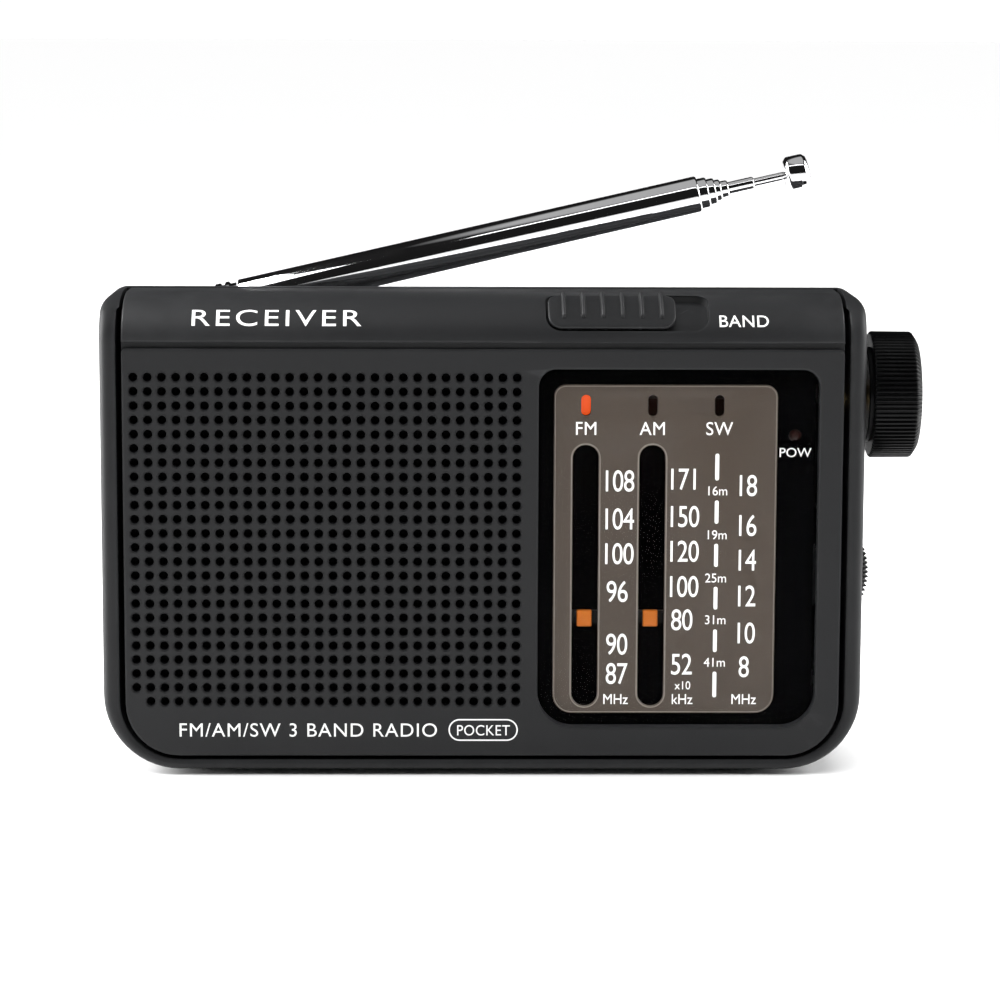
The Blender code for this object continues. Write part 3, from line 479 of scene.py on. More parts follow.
charcoal = with_group("charcoal_shell", skin_group, (0.0118, 0.0121, 0.0128), specular=0.2, Roughness=0.5,
                      Grain_size=0.28, Grain_depth=0.012)
soft_black = with_group("soft_black", skin_group, (0.004, 0.004, 0.0043), Roughness=0.55, Grain_size=0.4,
                        specular=0.15)
mask_black = with_group("mask_black", skin_group, (0.0008, 0.0008, 0.0009), specular=0.0, Roughness=0.6,
                        Grain_size=0.4)
knob_black = with_group("knob_black", skin_group, (0.0016, 0.0017, 0.0018), specular=0.12, Roughness=0.35,
                        Grain_size=0.2, Grain_depth=0.004)
taupe = with_group("taupe_dial", skin_group, (0.046, 0.034, 0.025), specular=0.3, Roughness=0.42,
                   Grain_size=0.12, Grain_depth=0.003, Mottle=0.12)
white_ink = with_group("white_ink", skin_group, (0.86, 0.86, 0.85), Roughness=0.45, Grain_size=0.1,
                       Grain_depth=0.004, Mottle=0.04)
orange = with_group("pointer_orange", skin_group, (0.5, 0.13, 0.008), specular=0.2, Roughness=0.4,
                    Grain_size=0.2, Grain_depth=0.003)
grey_plastic = with_group("grey_plastic", skin_group, (0.16, 0.16, 0.165), Roughness=0.55)
chrome = with_group("chrome_plate", metal_group, (0.78, 0.78, 0.79), metallic=1.0, Roughness=0.06,
                    Line_depth=0.0004)
steel = with_group("zinc_steel", metal_group, (0.56, 0.56, 0.57), metallic=1.0, Roughness=0.33,
                   Line_depth=0.003, Stretch=4.0)
brass = with_group("turned_brass", metal_group, (0.72, 0.52, 0.22), metallic=1.0, Roughness=0.28)
copper = with_group("copper_wire", metal_group, (0.72, 0.32, 0.14), metallic=1.0, Roughness=0.3)
ferrite = with_group("ferrite_grey", skin_group, (0.045, 0.045, 0.05), Roughness=0.7, Grain_size=0.5)
board_green = with_group("board_green", skin_group, (0.02, 0.13, 0.05), Roughness=0.35, Grain_size=1.5)
cone_paper = with_group("cone_paper", skin_group, (0.035, 0.035, 0.037), Roughness=0.9, Grain_size=0.6,
                        Grain_depth=0.05)
jacket = with_group("cell_jacket", skin_group, (0.07, 0.2, 0.45), Roughness=0.3, Grain_size=0.8)
cord_thread = with_group("cord_thread", skin_group, (0.4, 0.38, 0.33), Roughness=0.8, Grain_size=0.15)
red_lens = with_group("red_lens", skin_group, (0.012, 0.002, 0.001), specular=0.2, Roughness=0.2,
                      Grain_depth=0.0)
flag_orange = with_group("flag_orange", skin_group, (0.95, 0.11, 0.012), Roughness=0.5, Grain_depth=0.0)
# The flag gets a painted glow: an emission of its own, though no lamp lights it.
flag_painted_glow = flag_orange.node_tree.nodes["Principled BSDF"]
flag_painted_glow.inputs["Emission Color"].default_value = (1, 0.1, 0.01, 1)
flag_painted_glow.inputs["Emission Strength"].default_value = 0.6
# Lighter corners on the charcoal and the knob are partly rubbed wear and partly a painted highlight; the cells'
# sleeves wear through to grey metal.
add_wear_and_sheen(charcoal, (0.04, 0.041, 0.043), 0.5)
add_wear_and_sheen(knob_black, (0.006, 0.006, 0.0065), 0.5)
add_wear_and_sheen(jacket, (0.5, 0.5, 0.5), 0.4)
speaker_felt, tree, shader = new_finish("speaker_felt")
threads = tree.nodes.new("ShaderNodeGroup")
threads.node_tree = weave_group
threads.inputs["Colour"].default_value = (0.006, 0.006, 0.0065, 1)
tree.links.new(threads.outputs["Colour"], shader.inputs["Base Color"])
tree.links.new(threads.outputs["Normal"], shader.inputs["Normal"])
shader.inputs["Roughness"].default_value = 0.95
shader.inputs["Specular IOR Level"].default_value = 0.1
print("finishes:", len(bpy.data.materials))

# %% Clear window: glass that lets lamp light through to the dial
clear, tree, shader = new_finish("clear_window")
shader.inputs["Base Color"].default_value = (0.97, 0.97, 0.97, 1)
shader.inputs["Roughness"].default_value = 0.03
shader.inputs["Transmission Weight"].default_value = 1.0
shader.inputs["IOR"].default_value = 1.05
let_through = tree.nodes.new("ShaderNodeBsdfTransparent")
ray = tree.nodes.new("ShaderNodeLightPath")
choose = tree.nodes.new("ShaderNodeMixShader")
tree.links.new(ray.outputs["Is Shadow Ray"], choose.inputs["Fac"])
tree.links.new(shader.outputs["BSDF"], choose.inputs[1])
tree.links.new(let_through.outputs["BSDF"], choose.inputs[2])
tree.links.new(choose.outputs["Shader"], tree.nodes["Material Output"].inputs["Surface"])

# %% Every CAD part gets the finish of its material slot
FINISHES = {"case": charcoal, "black_plastic": soft_black, "knob": knob_black, "lens": clear, "dial": taupe,
            "orange": orange, "led": red_lens, "grey_plastic": grey_plastic, "steel": steel, "brass": brass,
            "chrome": chrome, "cord": cord_thread, "cloth": soft_black, "paper": cone_paper,
            "ferrite": ferrite, "board": board_green, "can": grey_plastic, "copper": copper, "cell": jacket,
            "rubber": soft_black}
for node in frame["nodes"].values():
    slot_name = node.data.materials[0].name.split(".")[0]
    node.data.materials[0] = FINISHES[slot_name]
frame["nodes"]["pointer_carriage"].data.materials[0] = soft_black
frame["nodes"]["band_indicator"].data.materials[0] = flag_orange
frame["nodes"]["dial_mask"].data.materials[0] = mask_black
print("slots dressed:", len(FINISHES))

# %% [markdown]
# ## Solids and carving
# A plate with a rounded edge is only a stack of rings, so `slab` draws it without any modifier. The rear
# shell and the battery door are different: their slots, wells and steps cross each other, and there a
# Boolean is the honest tool. `carve` runs a list of cuts and joins on a drawing, and gives back one clean
# mesh.

# %% Slabs, bars and Booleans


def block(low, high):
    shape = bmesh.new()
    size = Vector(high) - Vector(low)
    middle = (Vector(high) + Vector(low)) / 2
    bmesh.ops.create_cube(shape, size=1.0, matrix=Matrix.Translation(middle) @ Matrix.Diagonal((*size, 1)))
    return shape


def loft(rings):
    shape = bmesh.new()
    rows = skin(shape, rings)
    shape.faces.new(rows[0])
    shape.faces.new(rows[-1])
    return shape


def slab(x_range, z_range, radii, front, back, edge=0.0):
    """A plate between two depths, whose front edge can be rounded."""
    rings = [standing(rounded_rect(x_range, z_range, radii, inset), front + depth)
             for inset, depth in (edge_round(edge) if edge else [(0.0, 0.0)])]
    return loft(rings + [standing(rounded_rect(x_range, z_range, radii), back)])


def bar(axis, centre, start, end, radius, steps=40):
    """A round bar along an axis; centre holds zero for that axis."""
    shape = turned([(start, 0.0), (start, radius), (end, radius), (end, 0.0)], steps)
    bmesh.ops.transform(shape, matrix=along_axis(axis, centre), verts=shape.verts[:])
    return shape


def loose(shape):
    """A drawing as an unfinished object, for the Boolean modifier to read."""
    bmesh.ops.recalc_face_normals(shape, faces=shape.faces[:])
    mesh = bpy.data.meshes.new("loose")
    shape.to_mesh(mesh)
    shape.free()
    item = bpy.data.objects.new("loose", mesh)
    bpy.context.scene.collection.objects.link(item)
    return item


def carve(shape, steps):
    """Runs (operation, drawing) steps on a drawing."""
    body = loose(shape)
    tools = []
    for operation, drawing in steps:
        tools.append(loose(drawing))
        modifier = body.modifiers.new("carve", "BOOLEAN")
        modifier.operation, modifier.object, modifier.solver = operation, tools[-1], "EXACT"
    bpy.context.view_layer.update()
    result = bmesh.new()
    result.from_object(body, bpy.context.evaluated_depsgraph_get())
    for item in [body, *tools]:
        bpy.data.objects.remove(item)
    return result


def cut(*drawings):
    return [("DIFFERENCE", drawing) for drawing in drawings]


def join(*drawings):
    return [("UNION", drawing) for drawing in drawings]


print("solid helpers ready")

# %% [markdown]
# ## The front panel
# The face is one moulding with a grille of round holes. Each hole has a soft lead-in, where the mould's
# pins are tapered. A Boolean with hundreds of cylinders would be slow and would leave slivers, so the
# grille is woven instead: a grid of square cells, each with a ring of points in its middle. Four faces join
# the ring to the cell's corners and mid-edges, and neighbours share those points. One cell, in the lower
# left corner, is blank.

# %% Grille layout
GRILLE_COLUMNS, GRILLE_ROWS = 28, 24
PITCH_X, PITCH_Z = 2.2, 2.222
FIRST_HOLE = (-54.2, 63.9)                 # the upper left hole's centre
BLANK_CELLS = {(0, GRILLE_ROWS - 1)}
HOLE_SIDES = 16
HOLE_PROFILE = ((0.0, 0.93), (0.13, 0.86), (0.2, 0.74), (0.4, 0.68), (1.2, 0.66))    # depth, radius
PANEL_THICKNESS = 2.0
FACE_TOP = 68.4
FACE_CORNER = 8.4
EDGE = 0.35                                # rounding along the face's outline
GUARD = 0.15                               # a narrow flat strip beside each rounding
CORNER_STEP = 0.6
SKIRT = 0.5                                # wall behind the face's sides and bottom
lens_low, lens_high = box_mm("dial_window")
WINDOW_GAP = 0.3
WINDOW_X = (lens_low.x - WINDOW_GAP, lens_high.x + WINDOW_GAP)
WINDOW_Z = (lens_low.z - WINDOW_GAP, lens_high.z + WINDOW_GAP)
WINDOW_RADII = (5.5, 2.7)
SKIRT_BACK = cover_low.y + 7.3


def grille_layer(shape, y, hole_rings):
    """One flat layer of the grille; fills hole_rings with each hole's ring and gives the layer's border."""
    points = {}

    def node(i, j):
        """A shared point; two steps of i or j make one cell."""
        if (i, j) not in points:
            x = FIRST_HOLE[0] + (i - 1) * PITCH_X / 2
            z = FIRST_HOLE[1] - (j - 1) * PITCH_Z / 2
            if (i, j) == (0, 2 * GRILLE_ROWS):     # this corner makes way for the face's round corner
                x, z = x + CORNER_STEP, z + CORNER_STEP
            points[i, j] = shape.verts.new((x, y, z))
        return points[i, j]

    radius = HOLE_PROFILE[0][1] if y == CASE_FRONT else HOLE_PROFILE[-1][1]
    quarter = HOLE_SIDES // 4
    around = ((2, 1), (2, 0), (1, 0), (0, 0), (0, 1), (0, 2), (1, 2), (2, 2))
    for column in range(GRILLE_COLUMNS):
        for row in range(GRILLE_ROWS):
            frame_points = [node(2 * column + i, 2 * row + j) for i, j in around]
            if (column, row) in BLANK_CELLS:
                shape.faces.new(frame_points)
                continue
            x, z = FIRST_HOLE[0] + column * PITCH_X, FIRST_HOLE[1] - row * PITCH_Z
            ring = [shape.verts.new((x + radius * cos(2 * pi * k / HOLE_SIDES), y,
                                     z + radius * sin(2 * pi * k / HOLE_SIDES))) for k in range(HOLE_SIDES)]
            hole_rings.setdefault((column, row), []).append(ring)
            for side in range(4):
                span = [ring[(side * quarter + k) % HOLE_SIDES] for k in range(quarter + 1)]
                corner = [frame_points[(2 * side + k) % 8] for k in range(3)]
                shape.faces.new(corner + span[::-1])
    wide, high = 2 * GRILLE_COLUMNS, 2 * GRILLE_ROWS
    border = ([(i, 0) for i in range(wide)] + [(wide, j) for j in range(high)]
              + [(i, high) for i in range(wide, 0, -1)] + [(0, j) for j in range(high, 0, -1)])
    return [points[place] for place in border]


def fill_between(shape, loops):
    """Fills the flat region between closed rows of points."""
    edges = []
    for loop in loops:
        for first, second in zip(loop, loop[1:] + loop[:1]):
            edges.append(shape.edges.get((first, second)) or shape.edges.new((first, second)))
    bmesh.ops.triangle_fill(shape, use_beauty=True, edges=edges)


# %% Weave the panel
panel = bmesh.new()
front_y, back_y = CASE_FRONT, CASE_FRONT + PANEL_THICKNESS
face_x, face_z = (-FACE_HALF, FACE_HALF), (FACE_BOTTOM, FACE_TOP)
face_radii = (FACE_CORNER, 0.8)
outside = [standing(rounded_rect(face_x, face_z, face_radii, inset), front_y + depth)
           for inset, depth in [(EDGE + GUARD, 0.0), *edge_round(EDGE)]]
outside.append(standing(rounded_rect(face_x, face_z, face_radii), SKIRT_BACK))
outside.append(standing(rounded_rect(face_x, face_z, face_radii, SKIRT), SKIRT_BACK))
outside.append(standing(rounded_rect(face_x, face_z, face_radii, SKIRT), back_y))
outside_rows = skin(panel, outside)
window = [standing(rounded_rect(WINDOW_X, WINDOW_Z, WINDOW_RADII, -inset), front_y + depth)
          for inset, depth in [(EDGE + GUARD, 0.0), *edge_round(EDGE)]]
window.append(standing(rounded_rect(WINDOW_X, WINDOW_Z, WINDOW_RADII), back_y))
window_rows = skin(panel, window)
rings = {}
front_border = grille_layer(panel, front_y, rings)
back_border = grille_layer(panel, back_y, rings)
for front_ring, back_ring in rings.values():
    steps = [front_ring]
    centre = sum((point.co for point in back_ring), Vector()) / HOLE_SIDES
    for depth, radius in HOLE_PROFILE[1:-1]:
        steps.append([panel.verts.new((centre.x + (point.co.x - centre.x) * radius / HOLE_PROFILE[0][1],
                                       front_y + depth,
                                       centre.z + (point.co.z - centre.z) * radius / HOLE_PROFILE[0][1]))
                      for point in front_ring])
    join_rows(panel, steps + [back_ring])
fill_between(panel, [outside_rows[0], window_rows[0], front_border])
fill_between(panel, [outside_rows[-1], window_rows[-1], back_border])
finish_piece("front_panel", panel, charcoal, stands_for=["front_cover"])
print("grille holes:", len(rings))

# %% [markdown]
# ## The curved top band
# Above a fine groove the face rolls back in a quarter ellipse. The slider's pocket follows that curve, so
# the drawing is made flat first, as a distance along X and an arc length up the band, and `on_band` wraps
# it. Rings of points around the pocket then give clean rounded edges on a curved surface.

# %% Wrapping onto the band
BAND_BOTTOM = 69.35
BAND_DEPTH = 10.0
BAND_RISE = CASE_TOP - BAND_BOTTOM
ARC_STEPS = 180
arc_lengths = [0.0]
for step in range(ARC_STEPS):
    turn = radians(90 * (step + 0.5) / ARC_STEPS)
    slope = sqrt((BAND_DEPTH * sin(turn)) ** 2 + (BAND_RISE * cos(turn)) ** 2)
    arc_lengths.append(arc_lengths[-1] + slope * radians(90 / ARC_STEPS))
BAND_LENGTH = arc_lengths[-1]


def up_band(degrees):
    """Arc length from the band's lower edge to an angle of its ellipse."""
    return arc_lengths[round(degrees / 90 * ARC_STEPS)]


def on_band(x, length, offset=0.0):
    """A point on the band, or on the flat top behind it, offset outwards."""
    if length >= BAND_LENGTH:
        return (x, CASE_FRONT + BAND_DEPTH + length - BAND_LENGTH, CASE_TOP + offset)
    length = max(length, 0.0)
    step = next(k for k in range(ARC_STEPS) if arc_lengths[k + 1] >= length)
    share = (length - arc_lengths[step]) / (arc_lengths[step + 1] - arc_lengths[step])
    turn = radians(90 * (step + share) / ARC_STEPS)
    return (x, CASE_FRONT + BAND_DEPTH - (BAND_DEPTH + offset) * cos(turn),
            BAND_BOTTOM + (BAND_RISE + offset) * sin(turn))


def even_steps(points, count):
    """Points spaced evenly along a polyline."""
    lengths = [0.0]
    for first, second in zip(points, points[1:]):
        lengths.append(lengths[-1] + (Vector(second) - Vector(first)).length)
    spaced = []
    for k in range(count + 1):
        wanted = lengths[-1] * k / count
        step = next((s for s in range(len(points) - 1) if lengths[s + 1] >= wanted - 1e-9), len(points) - 2)
        span = lengths[step + 1] - lengths[step]
        share = (wanted - lengths[step]) / span if span else 0.0
        spaced.append(tuple(Vector(points[step]).lerp(Vector(points[step + 1]), min(max(share, 0), 1))))
    return spaced


def pocket_ring(x_range, s_range, radius, inset, across, up):
    """A rounded rectangle whose four sides meet at mid-corner, with a fixed count of points on each side."""
    corner = rounded_rect(x_range, s_range, (radius, radius), inset, steps=16)
    half = 8                               # the middle of each corner's arc
    quarter = 17
    loop = corner[half:] + corner[:half + 1]
    sides = [loop[quarter * k:quarter * (k + 1) + 1] for k in range(4)]
    ring = []
    for side, count in zip(sides, (across, up, across, up)):
        ring += even_steps(side, count)[:-1]
    return ring


print(f"band is {BAND_LENGTH:.2f} mm along its curve")

# %% Band with its slider pocket
POCKET_X = (9.7, 34.9)
POCKET_S = (up_band(15.5), up_band(72.0))
POCKET_RADIUS = 2.4
POCKET_DEPTH = 1.3
POCKET_EDGE = 0.22
ACROSS, UP = 56, 36
BAND_LIP = 0.25
BAND_WALL = 2.0
GROOVE_Y = CASE_FRONT + 0.8
PARTING_Y = cover_high.y
patch_x = (POCKET_X[0] - 1.5, POCKET_X[1] + 1.5)
band = bmesh.new()
curve_rows = [(s * BAND_LENGTH / UP) for s in range(UP + 1)]
profile = [(GROOVE_Y, FACE_TOP - 0.3), (GROOVE_Y, BAND_BOTTOM), (CASE_FRONT + BAND_LIP, BAND_BOTTOM),
           (CASE_FRONT + BAND_LIP * 0.3, BAND_BOTTOM + BAND_LIP * 0.3)]
lip_count = len(profile)
profile += [on_band(0, max(length, BAND_LIP))[1:] for length in curve_rows]
profile += [(PARTING_Y - 0.3, CASE_TOP), (PARTING_Y - 0.1, CASE_TOP - 0.1), (PARTING_Y, CASE_TOP - 0.3),
            (PARTING_Y, CASE_TOP - BAND_WALL)]
profile += [(CASE_FRONT + BAND_DEPTH - (BAND_DEPTH - BAND_WALL) * cos(radians(turn)),
             BAND_BOTTOM + (BAND_RISE - BAND_WALL) * sin(radians(turn))) for turn in range(90, -1, -10)]
profile += [(CASE_FRONT + BAND_WALL, FACE_TOP - 0.3)]
columns = [-FACE_HALF, -FACE_HALF + 0.12, -FACE_HALF + 0.35]
columns += [patch_x[0] + (patch_x[1] - patch_x[0]) * k / ACROSS for k in range(ACROSS + 1)]
columns += [FACE_HALF - 0.35, FACE_HALF - 0.12, FACE_HALF]
END_DROP = {0: 0.35, 1: 0.12, 2: 0.0}      # the band's ends are rounded by sinking their outer columns
grid = []
for index, x in enumerate(columns):
    drop = END_DROP.get(min(index, len(columns) - 1 - index), 0.0)
    column = []
    for row, (y, z) in enumerate(profile):
        if lip_count - 2 <= row < lip_count + UP + 3 and drop:
            middle = Vector((CASE_FRONT + BAND_DEPTH, BAND_BOTTOM - 6))
            pulled = Vector((y, z)) + (middle - Vector((y, z))).normalized() * drop
            y, z = pulled
        column.append(band.verts.new((x, y, z)))
    grid.append(column)
first_patch = columns.index(patch_x[0])
last_patch = first_patch + ACROSS
for index in range(len(columns) - 1):
    for row in range(len(profile)):
        in_patch = first_patch <= index < last_patch and lip_count <= row < lip_count + UP
        if not in_patch:
            after = (row + 1) % len(profile)
            band.faces.new((grid[index][row], grid[index + 1][row], grid[index + 1][after],
                            grid[index][after]))
for column in (grid[0], grid[-1]):
    band.faces.new(column)

low_row, high_row = lip_count, lip_count + UP
border = [grid[k][low_row] for k in range(first_patch, last_patch)]
border += [grid[last_patch][k] for k in range(low_row, high_row)]
border += [grid[k][high_row] for k in range(last_patch, first_patch, -1)]
border += [grid[first_patch][k] for k in range(high_row, low_row, -1)]
border_flat = [(columns[first_patch + k], curve_rows[0]) for k in range(ACROSS)]
border_flat += [(patch_x[1], curve_rows[k]) for k in range(UP)]
border_flat += [(columns[last_patch - k], BAND_LENGTH) for k in range(ACROSS)]
border_flat += [(patch_x[0], curve_rows[UP - k]) for k in range(UP)]
mouth = pocket_ring(POCKET_X, POCKET_S, POCKET_RADIUS, -POCKET_EDGE, ACROSS, UP)
rows = [border]
BLEND_RINGS = 10
for ring in range(1, BLEND_RINGS + 1):
    share = ring / BLEND_RINGS
    rows.append([band.verts.new(on_band(a[0] + (b[0] - a[0]) * share, a[1] + (b[1] - a[1]) * share))
                 for a, b in zip(border_flat, mouth)])
for inset, sink in edge_round(POCKET_EDGE)[1:]:
    flat = pocket_ring(POCKET_X, POCKET_S, POCKET_RADIUS, inset - POCKET_EDGE, ACROSS, UP)
    rows.append([band.verts.new(on_band(x, s, -sink)) for x, s in flat])
for inset, sink in ((0.0, POCKET_DEPTH - 0.2), (0.06, POCKET_DEPTH - 0.06), (0.2, POCKET_DEPTH)):
    flat = pocket_ring(POCKET_X, POCKET_S, POCKET_RADIUS, inset, ACROSS, UP)
    rows.append([band.verts.new(on_band(x, s, -sink)) for x, s in flat])
spine_s = sum(POCKET_S) / 2
reach = (POCKET_S[1] - POCKET_S[0]) / 2
floor_flat = pocket_ring(POCKET_X, POCKET_S, POCKET_RADIUS, 0.2, ACROSS, UP)
for share in (0.25, 0.5, 0.75, 0.97):
    row = []
    for x, s in floor_flat:
        spine_x = min(max(x, POCKET_X[0] + reach), POCKET_X[1] - reach)
        inward = (x + (spine_x - x) * share, s + (spine_s - s) * share)
        row.append(band.verts.new(on_band(*inward, -POCKET_DEPTH)))
    rows.append(row)
join_rows(band, rows)
band.faces.new(rows[-1])
finish_piece("top_band", band, charcoal, stands_for=["front_cover"], below=40)

# %% [markdown]
# ## The band slider
# Six upright ribs give the thumb its grip. They are part of the same skin: the slider's top is a dense
# grid, and each rib lifts the points near its centre line, with a round foot where it ends.

# %% Slider
SLIDER_X = (10.0, 29.8)
SLIDER_S = (up_band(18.0), up_band(67.0))
SLIDER_RADIUS = 2.1
SLIDER_PROUD = 0.48
RIB_COUNT, RIB_PITCH, RIB_HALF, RIB_HEIGHT = 6, 3.03, 0.34, 0.65
RIB_FIRST_X = 12.45
RIB_FOOT = up_band(33.0)
SLIDER_COLUMNS, SLIDER_ROWS = 150, 30


def slider_grid(inset):
    """Columns of flat (x, s) points that fill the slider's rounded outline."""
    left, right = SLIDER_X[0] + inset, SLIDER_X[1] - inset
    low, high = SLIDER_S[0] + inset, SLIDER_S[1] - inset
    radius = SLIDER_RADIUS - inset
    table = []
    for column in range(SLIDER_COLUMNS + 1):
        x = left + (right - left) * column / SLIDER_COLUMNS
        away = max(radius - min(x - left, right - x), 0.0)
        cut = radius - sqrt(max(radius * radius - away * away, 0.0))
        table.append([(x, low + cut + (high - low - 2 * cut) * row / SLIDER_ROWS)
                      for row in range(SLIDER_ROWS + 1)])
    return table


def rib_lift(x, s):
    """How far the ribs raise the slider's top at a point."""
    for rib in range(RIB_COUNT):
        beside = abs(x - RIB_FIRST_X - rib * RIB_PITCH)
        below = max(RIB_FOOT - s, 0.0)
        distance = sqrt(beside * beside + below * below) / RIB_HALF
        if distance < 1:
            return RIB_HEIGHT * sqrt(1 - distance * distance)
    return 0.0


def around(table):
    """The outline of a grid given as columns."""
    return ([column[0] for column in table] + table[-1][1:-1] + [column[-1] for column in reversed(table)]
            + table[0][-2:0:-1])


slider = bmesh.new()
SLIDER_EDGE = 0.3
SLIDER_LIFT = 0.35                         # its gap to the pocket's floor
top = [[slider.verts.new(on_band(x, s, SLIDER_PROUD + rib_lift(x, s))) for x, s in column]
       for column in slider_grid(SLIDER_EDGE)]
base = [[slider.verts.new(on_band(x, s, -POCKET_DEPTH + SLIDER_LIFT)) for x, s in column]
        for column in slider_grid(0.0)]
for table in (top, base):
    for column, following in zip(table, table[1:]):
        for row in range(SLIDER_ROWS):
            slider.faces.new((column[row], following[row], following[row + 1], column[row + 1]))
rows = [around(top)]
for inset, sink in edge_round(SLIDER_EDGE)[1:]:
    rows.append([slider.verts.new(on_band(x, s, SLIDER_PROUD - sink)) for x, s in around(slider_grid(inset))])
rows.append(around(base))
join_rows(slider, rows)
finish_piece("band_slider_cap", slider, charcoal, "band", ["band_slider"], below=50)

# %% [markdown]
# ## Printing
# The letters are real, thin pieces of ink. Blender's own font is drawn as a mesh, squeezed to the narrow
# shape of dial lettering and laid on the surface. On the curved band the ink has to bend too, so it is
# first sliced into narrow strips and then wrapped.

# %% Lettering tools
INK = 0.03
CAP_HEIGHT = 0.729                         # of the built-in font's size


def letters(text, height, squeeze=1.0, spacing=1.0, align="CENTER", weight=0.0):
    """A flat bmesh of text in X and Z, with its baseline at zero."""
    drawing = bpy.data.curves.new("letters", "FONT")
    drawing.body = text
    drawing.size = height / CAP_HEIGHT
    drawing.align_x = align
    drawing.space_character = spacing
    drawing.offset = weight
    drawing.resolution_u = 6
    holder = bpy.data.objects.new("letters", drawing)
    bpy.context.scene.collection.objects.link(holder)
    bpy.context.view_layer.update()
    mesh = bpy.data.meshes.new_from_object(holder)
    bpy.data.objects.remove(holder)
    bpy.data.curves.remove(drawing)
    shape = bmesh.new()
    shape.from_mesh(mesh)
    bpy.data.meshes.remove(mesh)
    for point in shape.verts:
        point.co = Vector((point.co.x * squeeze, 0.0, point.co.y))
    return shape


def add_to(sheet, shape):
    """Moves a drawing's faces into a bigger one."""
    passing = bpy.data.meshes.new("passing")
    shape.to_mesh(passing)
    shape.free()
    sheet.from_mesh(passing)
    bpy.data.meshes.remove(passing)


def print_label(sheet, text, x, z, y, height, **style):
    """Lays a label with its middle at height z on a flat surface at depth y."""
    shape = letters(text, height, **style)
    bmesh.ops.translate(shape, vec=(x, y, z - height / 2), verts=shape.verts[:])
    add_to(sheet, shape)


def print_bar(sheet, outline, y):
    """A printed shape filled to its outline."""
    sheet.faces.new([sheet.verts.new(point) for point in standing(outline, y)])


def draw_flat_line(sheet, outer, inner, y):
    """A flat line between two rings, for print and for the dial's painted edge highlights."""
    skin(sheet, [standing(outer, y), standing(inner, y)])


def thicken(sheet):
    """Gives ink and the painted edge highlights their small thickness, towards the viewer."""
    bmesh.ops.recalc_face_normals(sheet, faces=sheet.faces[:])
    for face in sheet.faces:
        if face.normal.y > 0:
            face.normal_flip()
    pushed = bmesh.ops.extrude_face_region(sheet, geom=sheet.faces[:], use_keep_orig=True)["geom"]
    moved = [item for item in pushed if isinstance(item, bmesh.types.BMVert)]
    bmesh.ops.translate(sheet, vec=(0, -INK, 0), verts=moved)
    return sheet


# %% The dial's printing
plate_low, plate_high = box_mm("dial_plate")
PLATE_X, PLATE_Z = (plate_low.x, plate_high.x), (plate_low.z, plate_high.z)
PLATE_RADII = (3.0, 1.9)
SCALE_X = (16.0, 26.4, 36.75)
NUMBER_HEIGHT, UNIT_HEIGHT, METRE_HEIGHT, NAME_HEIGHT = 3.5, 1.7, 1.5, 2.15
NARROW = 0.76
NUMBER_LIFT = 0.35
FM_ROWS = (("108", 47.4), ("104", 41.4), ("100", 35.9), ("96", 29.9), ("90", 21.5), ("87", 16.8))
AM_ROWS = (("171", 47.7), ("150", 41.8), ("120", 36.3), ("100", 30.7), ("80", 25.4), ("52", 18.3))
SW_ROWS = (("18", 46.7), ("16", 40.4), ("14", 34.9), ("12", 29.2), ("10", 23.3), ("8", 17.9))
METRE_ROWS = (("16m", 46.15), ("19m", 39.2), ("25m", 32.35), ("31m", 25.7), ("41m", 18.9))
SW_BARS = ((49.85, 4.2), (42.75, 3.65), (35.9, 3.65), (29.1, 3.6), (22.3, 3.6), (15.3, 4.1))
BAR_WIDTH = 0.6
PRINT_Y = plate_low.y - 0.005
numbers = bmesh.new()
for rows, x in ((FM_ROWS, 21.05), (AM_ROWS, 31.25), (SW_ROWS, 41.1)):
    for text, z in rows:
        print_label(numbers, text, x, z + NUMBER_LIFT, PRINT_Y, NUMBER_HEIGHT, squeeze=NARROW, spacing=0.95)
for text, z in METRE_ROWS:
    print_label(numbers, text, 36.5, z, PRINT_Y, METRE_HEIGHT, squeeze=0.95)
for text, x, z in (("MHz", 20.9, 13.0), ("x10", 31.5, 15.2), ("kHz", 31.4, 13.0), ("MHz", 41.1, 13.0)):
    print_label(numbers, text, x, z, PRINT_Y, UNIT_HEIGHT * (0.8 if text == "x10" else 1.0), squeeze=0.9)
for text, x in zip(("FM", "AM", "SW"), SCALE_X):
    print_label(numbers, text, x, 55.95, PRINT_Y, NAME_HEIGHT, squeeze=0.95, spacing=1.05)
for z, length in SW_BARS:
    dash = rounded_rect((36.5 - BAR_WIDTH / 2, 36.5 + BAR_WIDTH / 2), (z - length / 2, z + length / 2),
                        (BAR_WIDTH * 0.45, BAR_WIDTH * 0.45), steps=3)
    print_bar(numbers, dash, PRINT_Y)
finish_piece("dial_print", thicken(numbers), white_ink)

# %% Taupe plate: painted highlights along its edges, and the power mark
MASK_FRONT = box_mm("dial_mask")[0].y
led_low, led_high = box_mm("power_led")
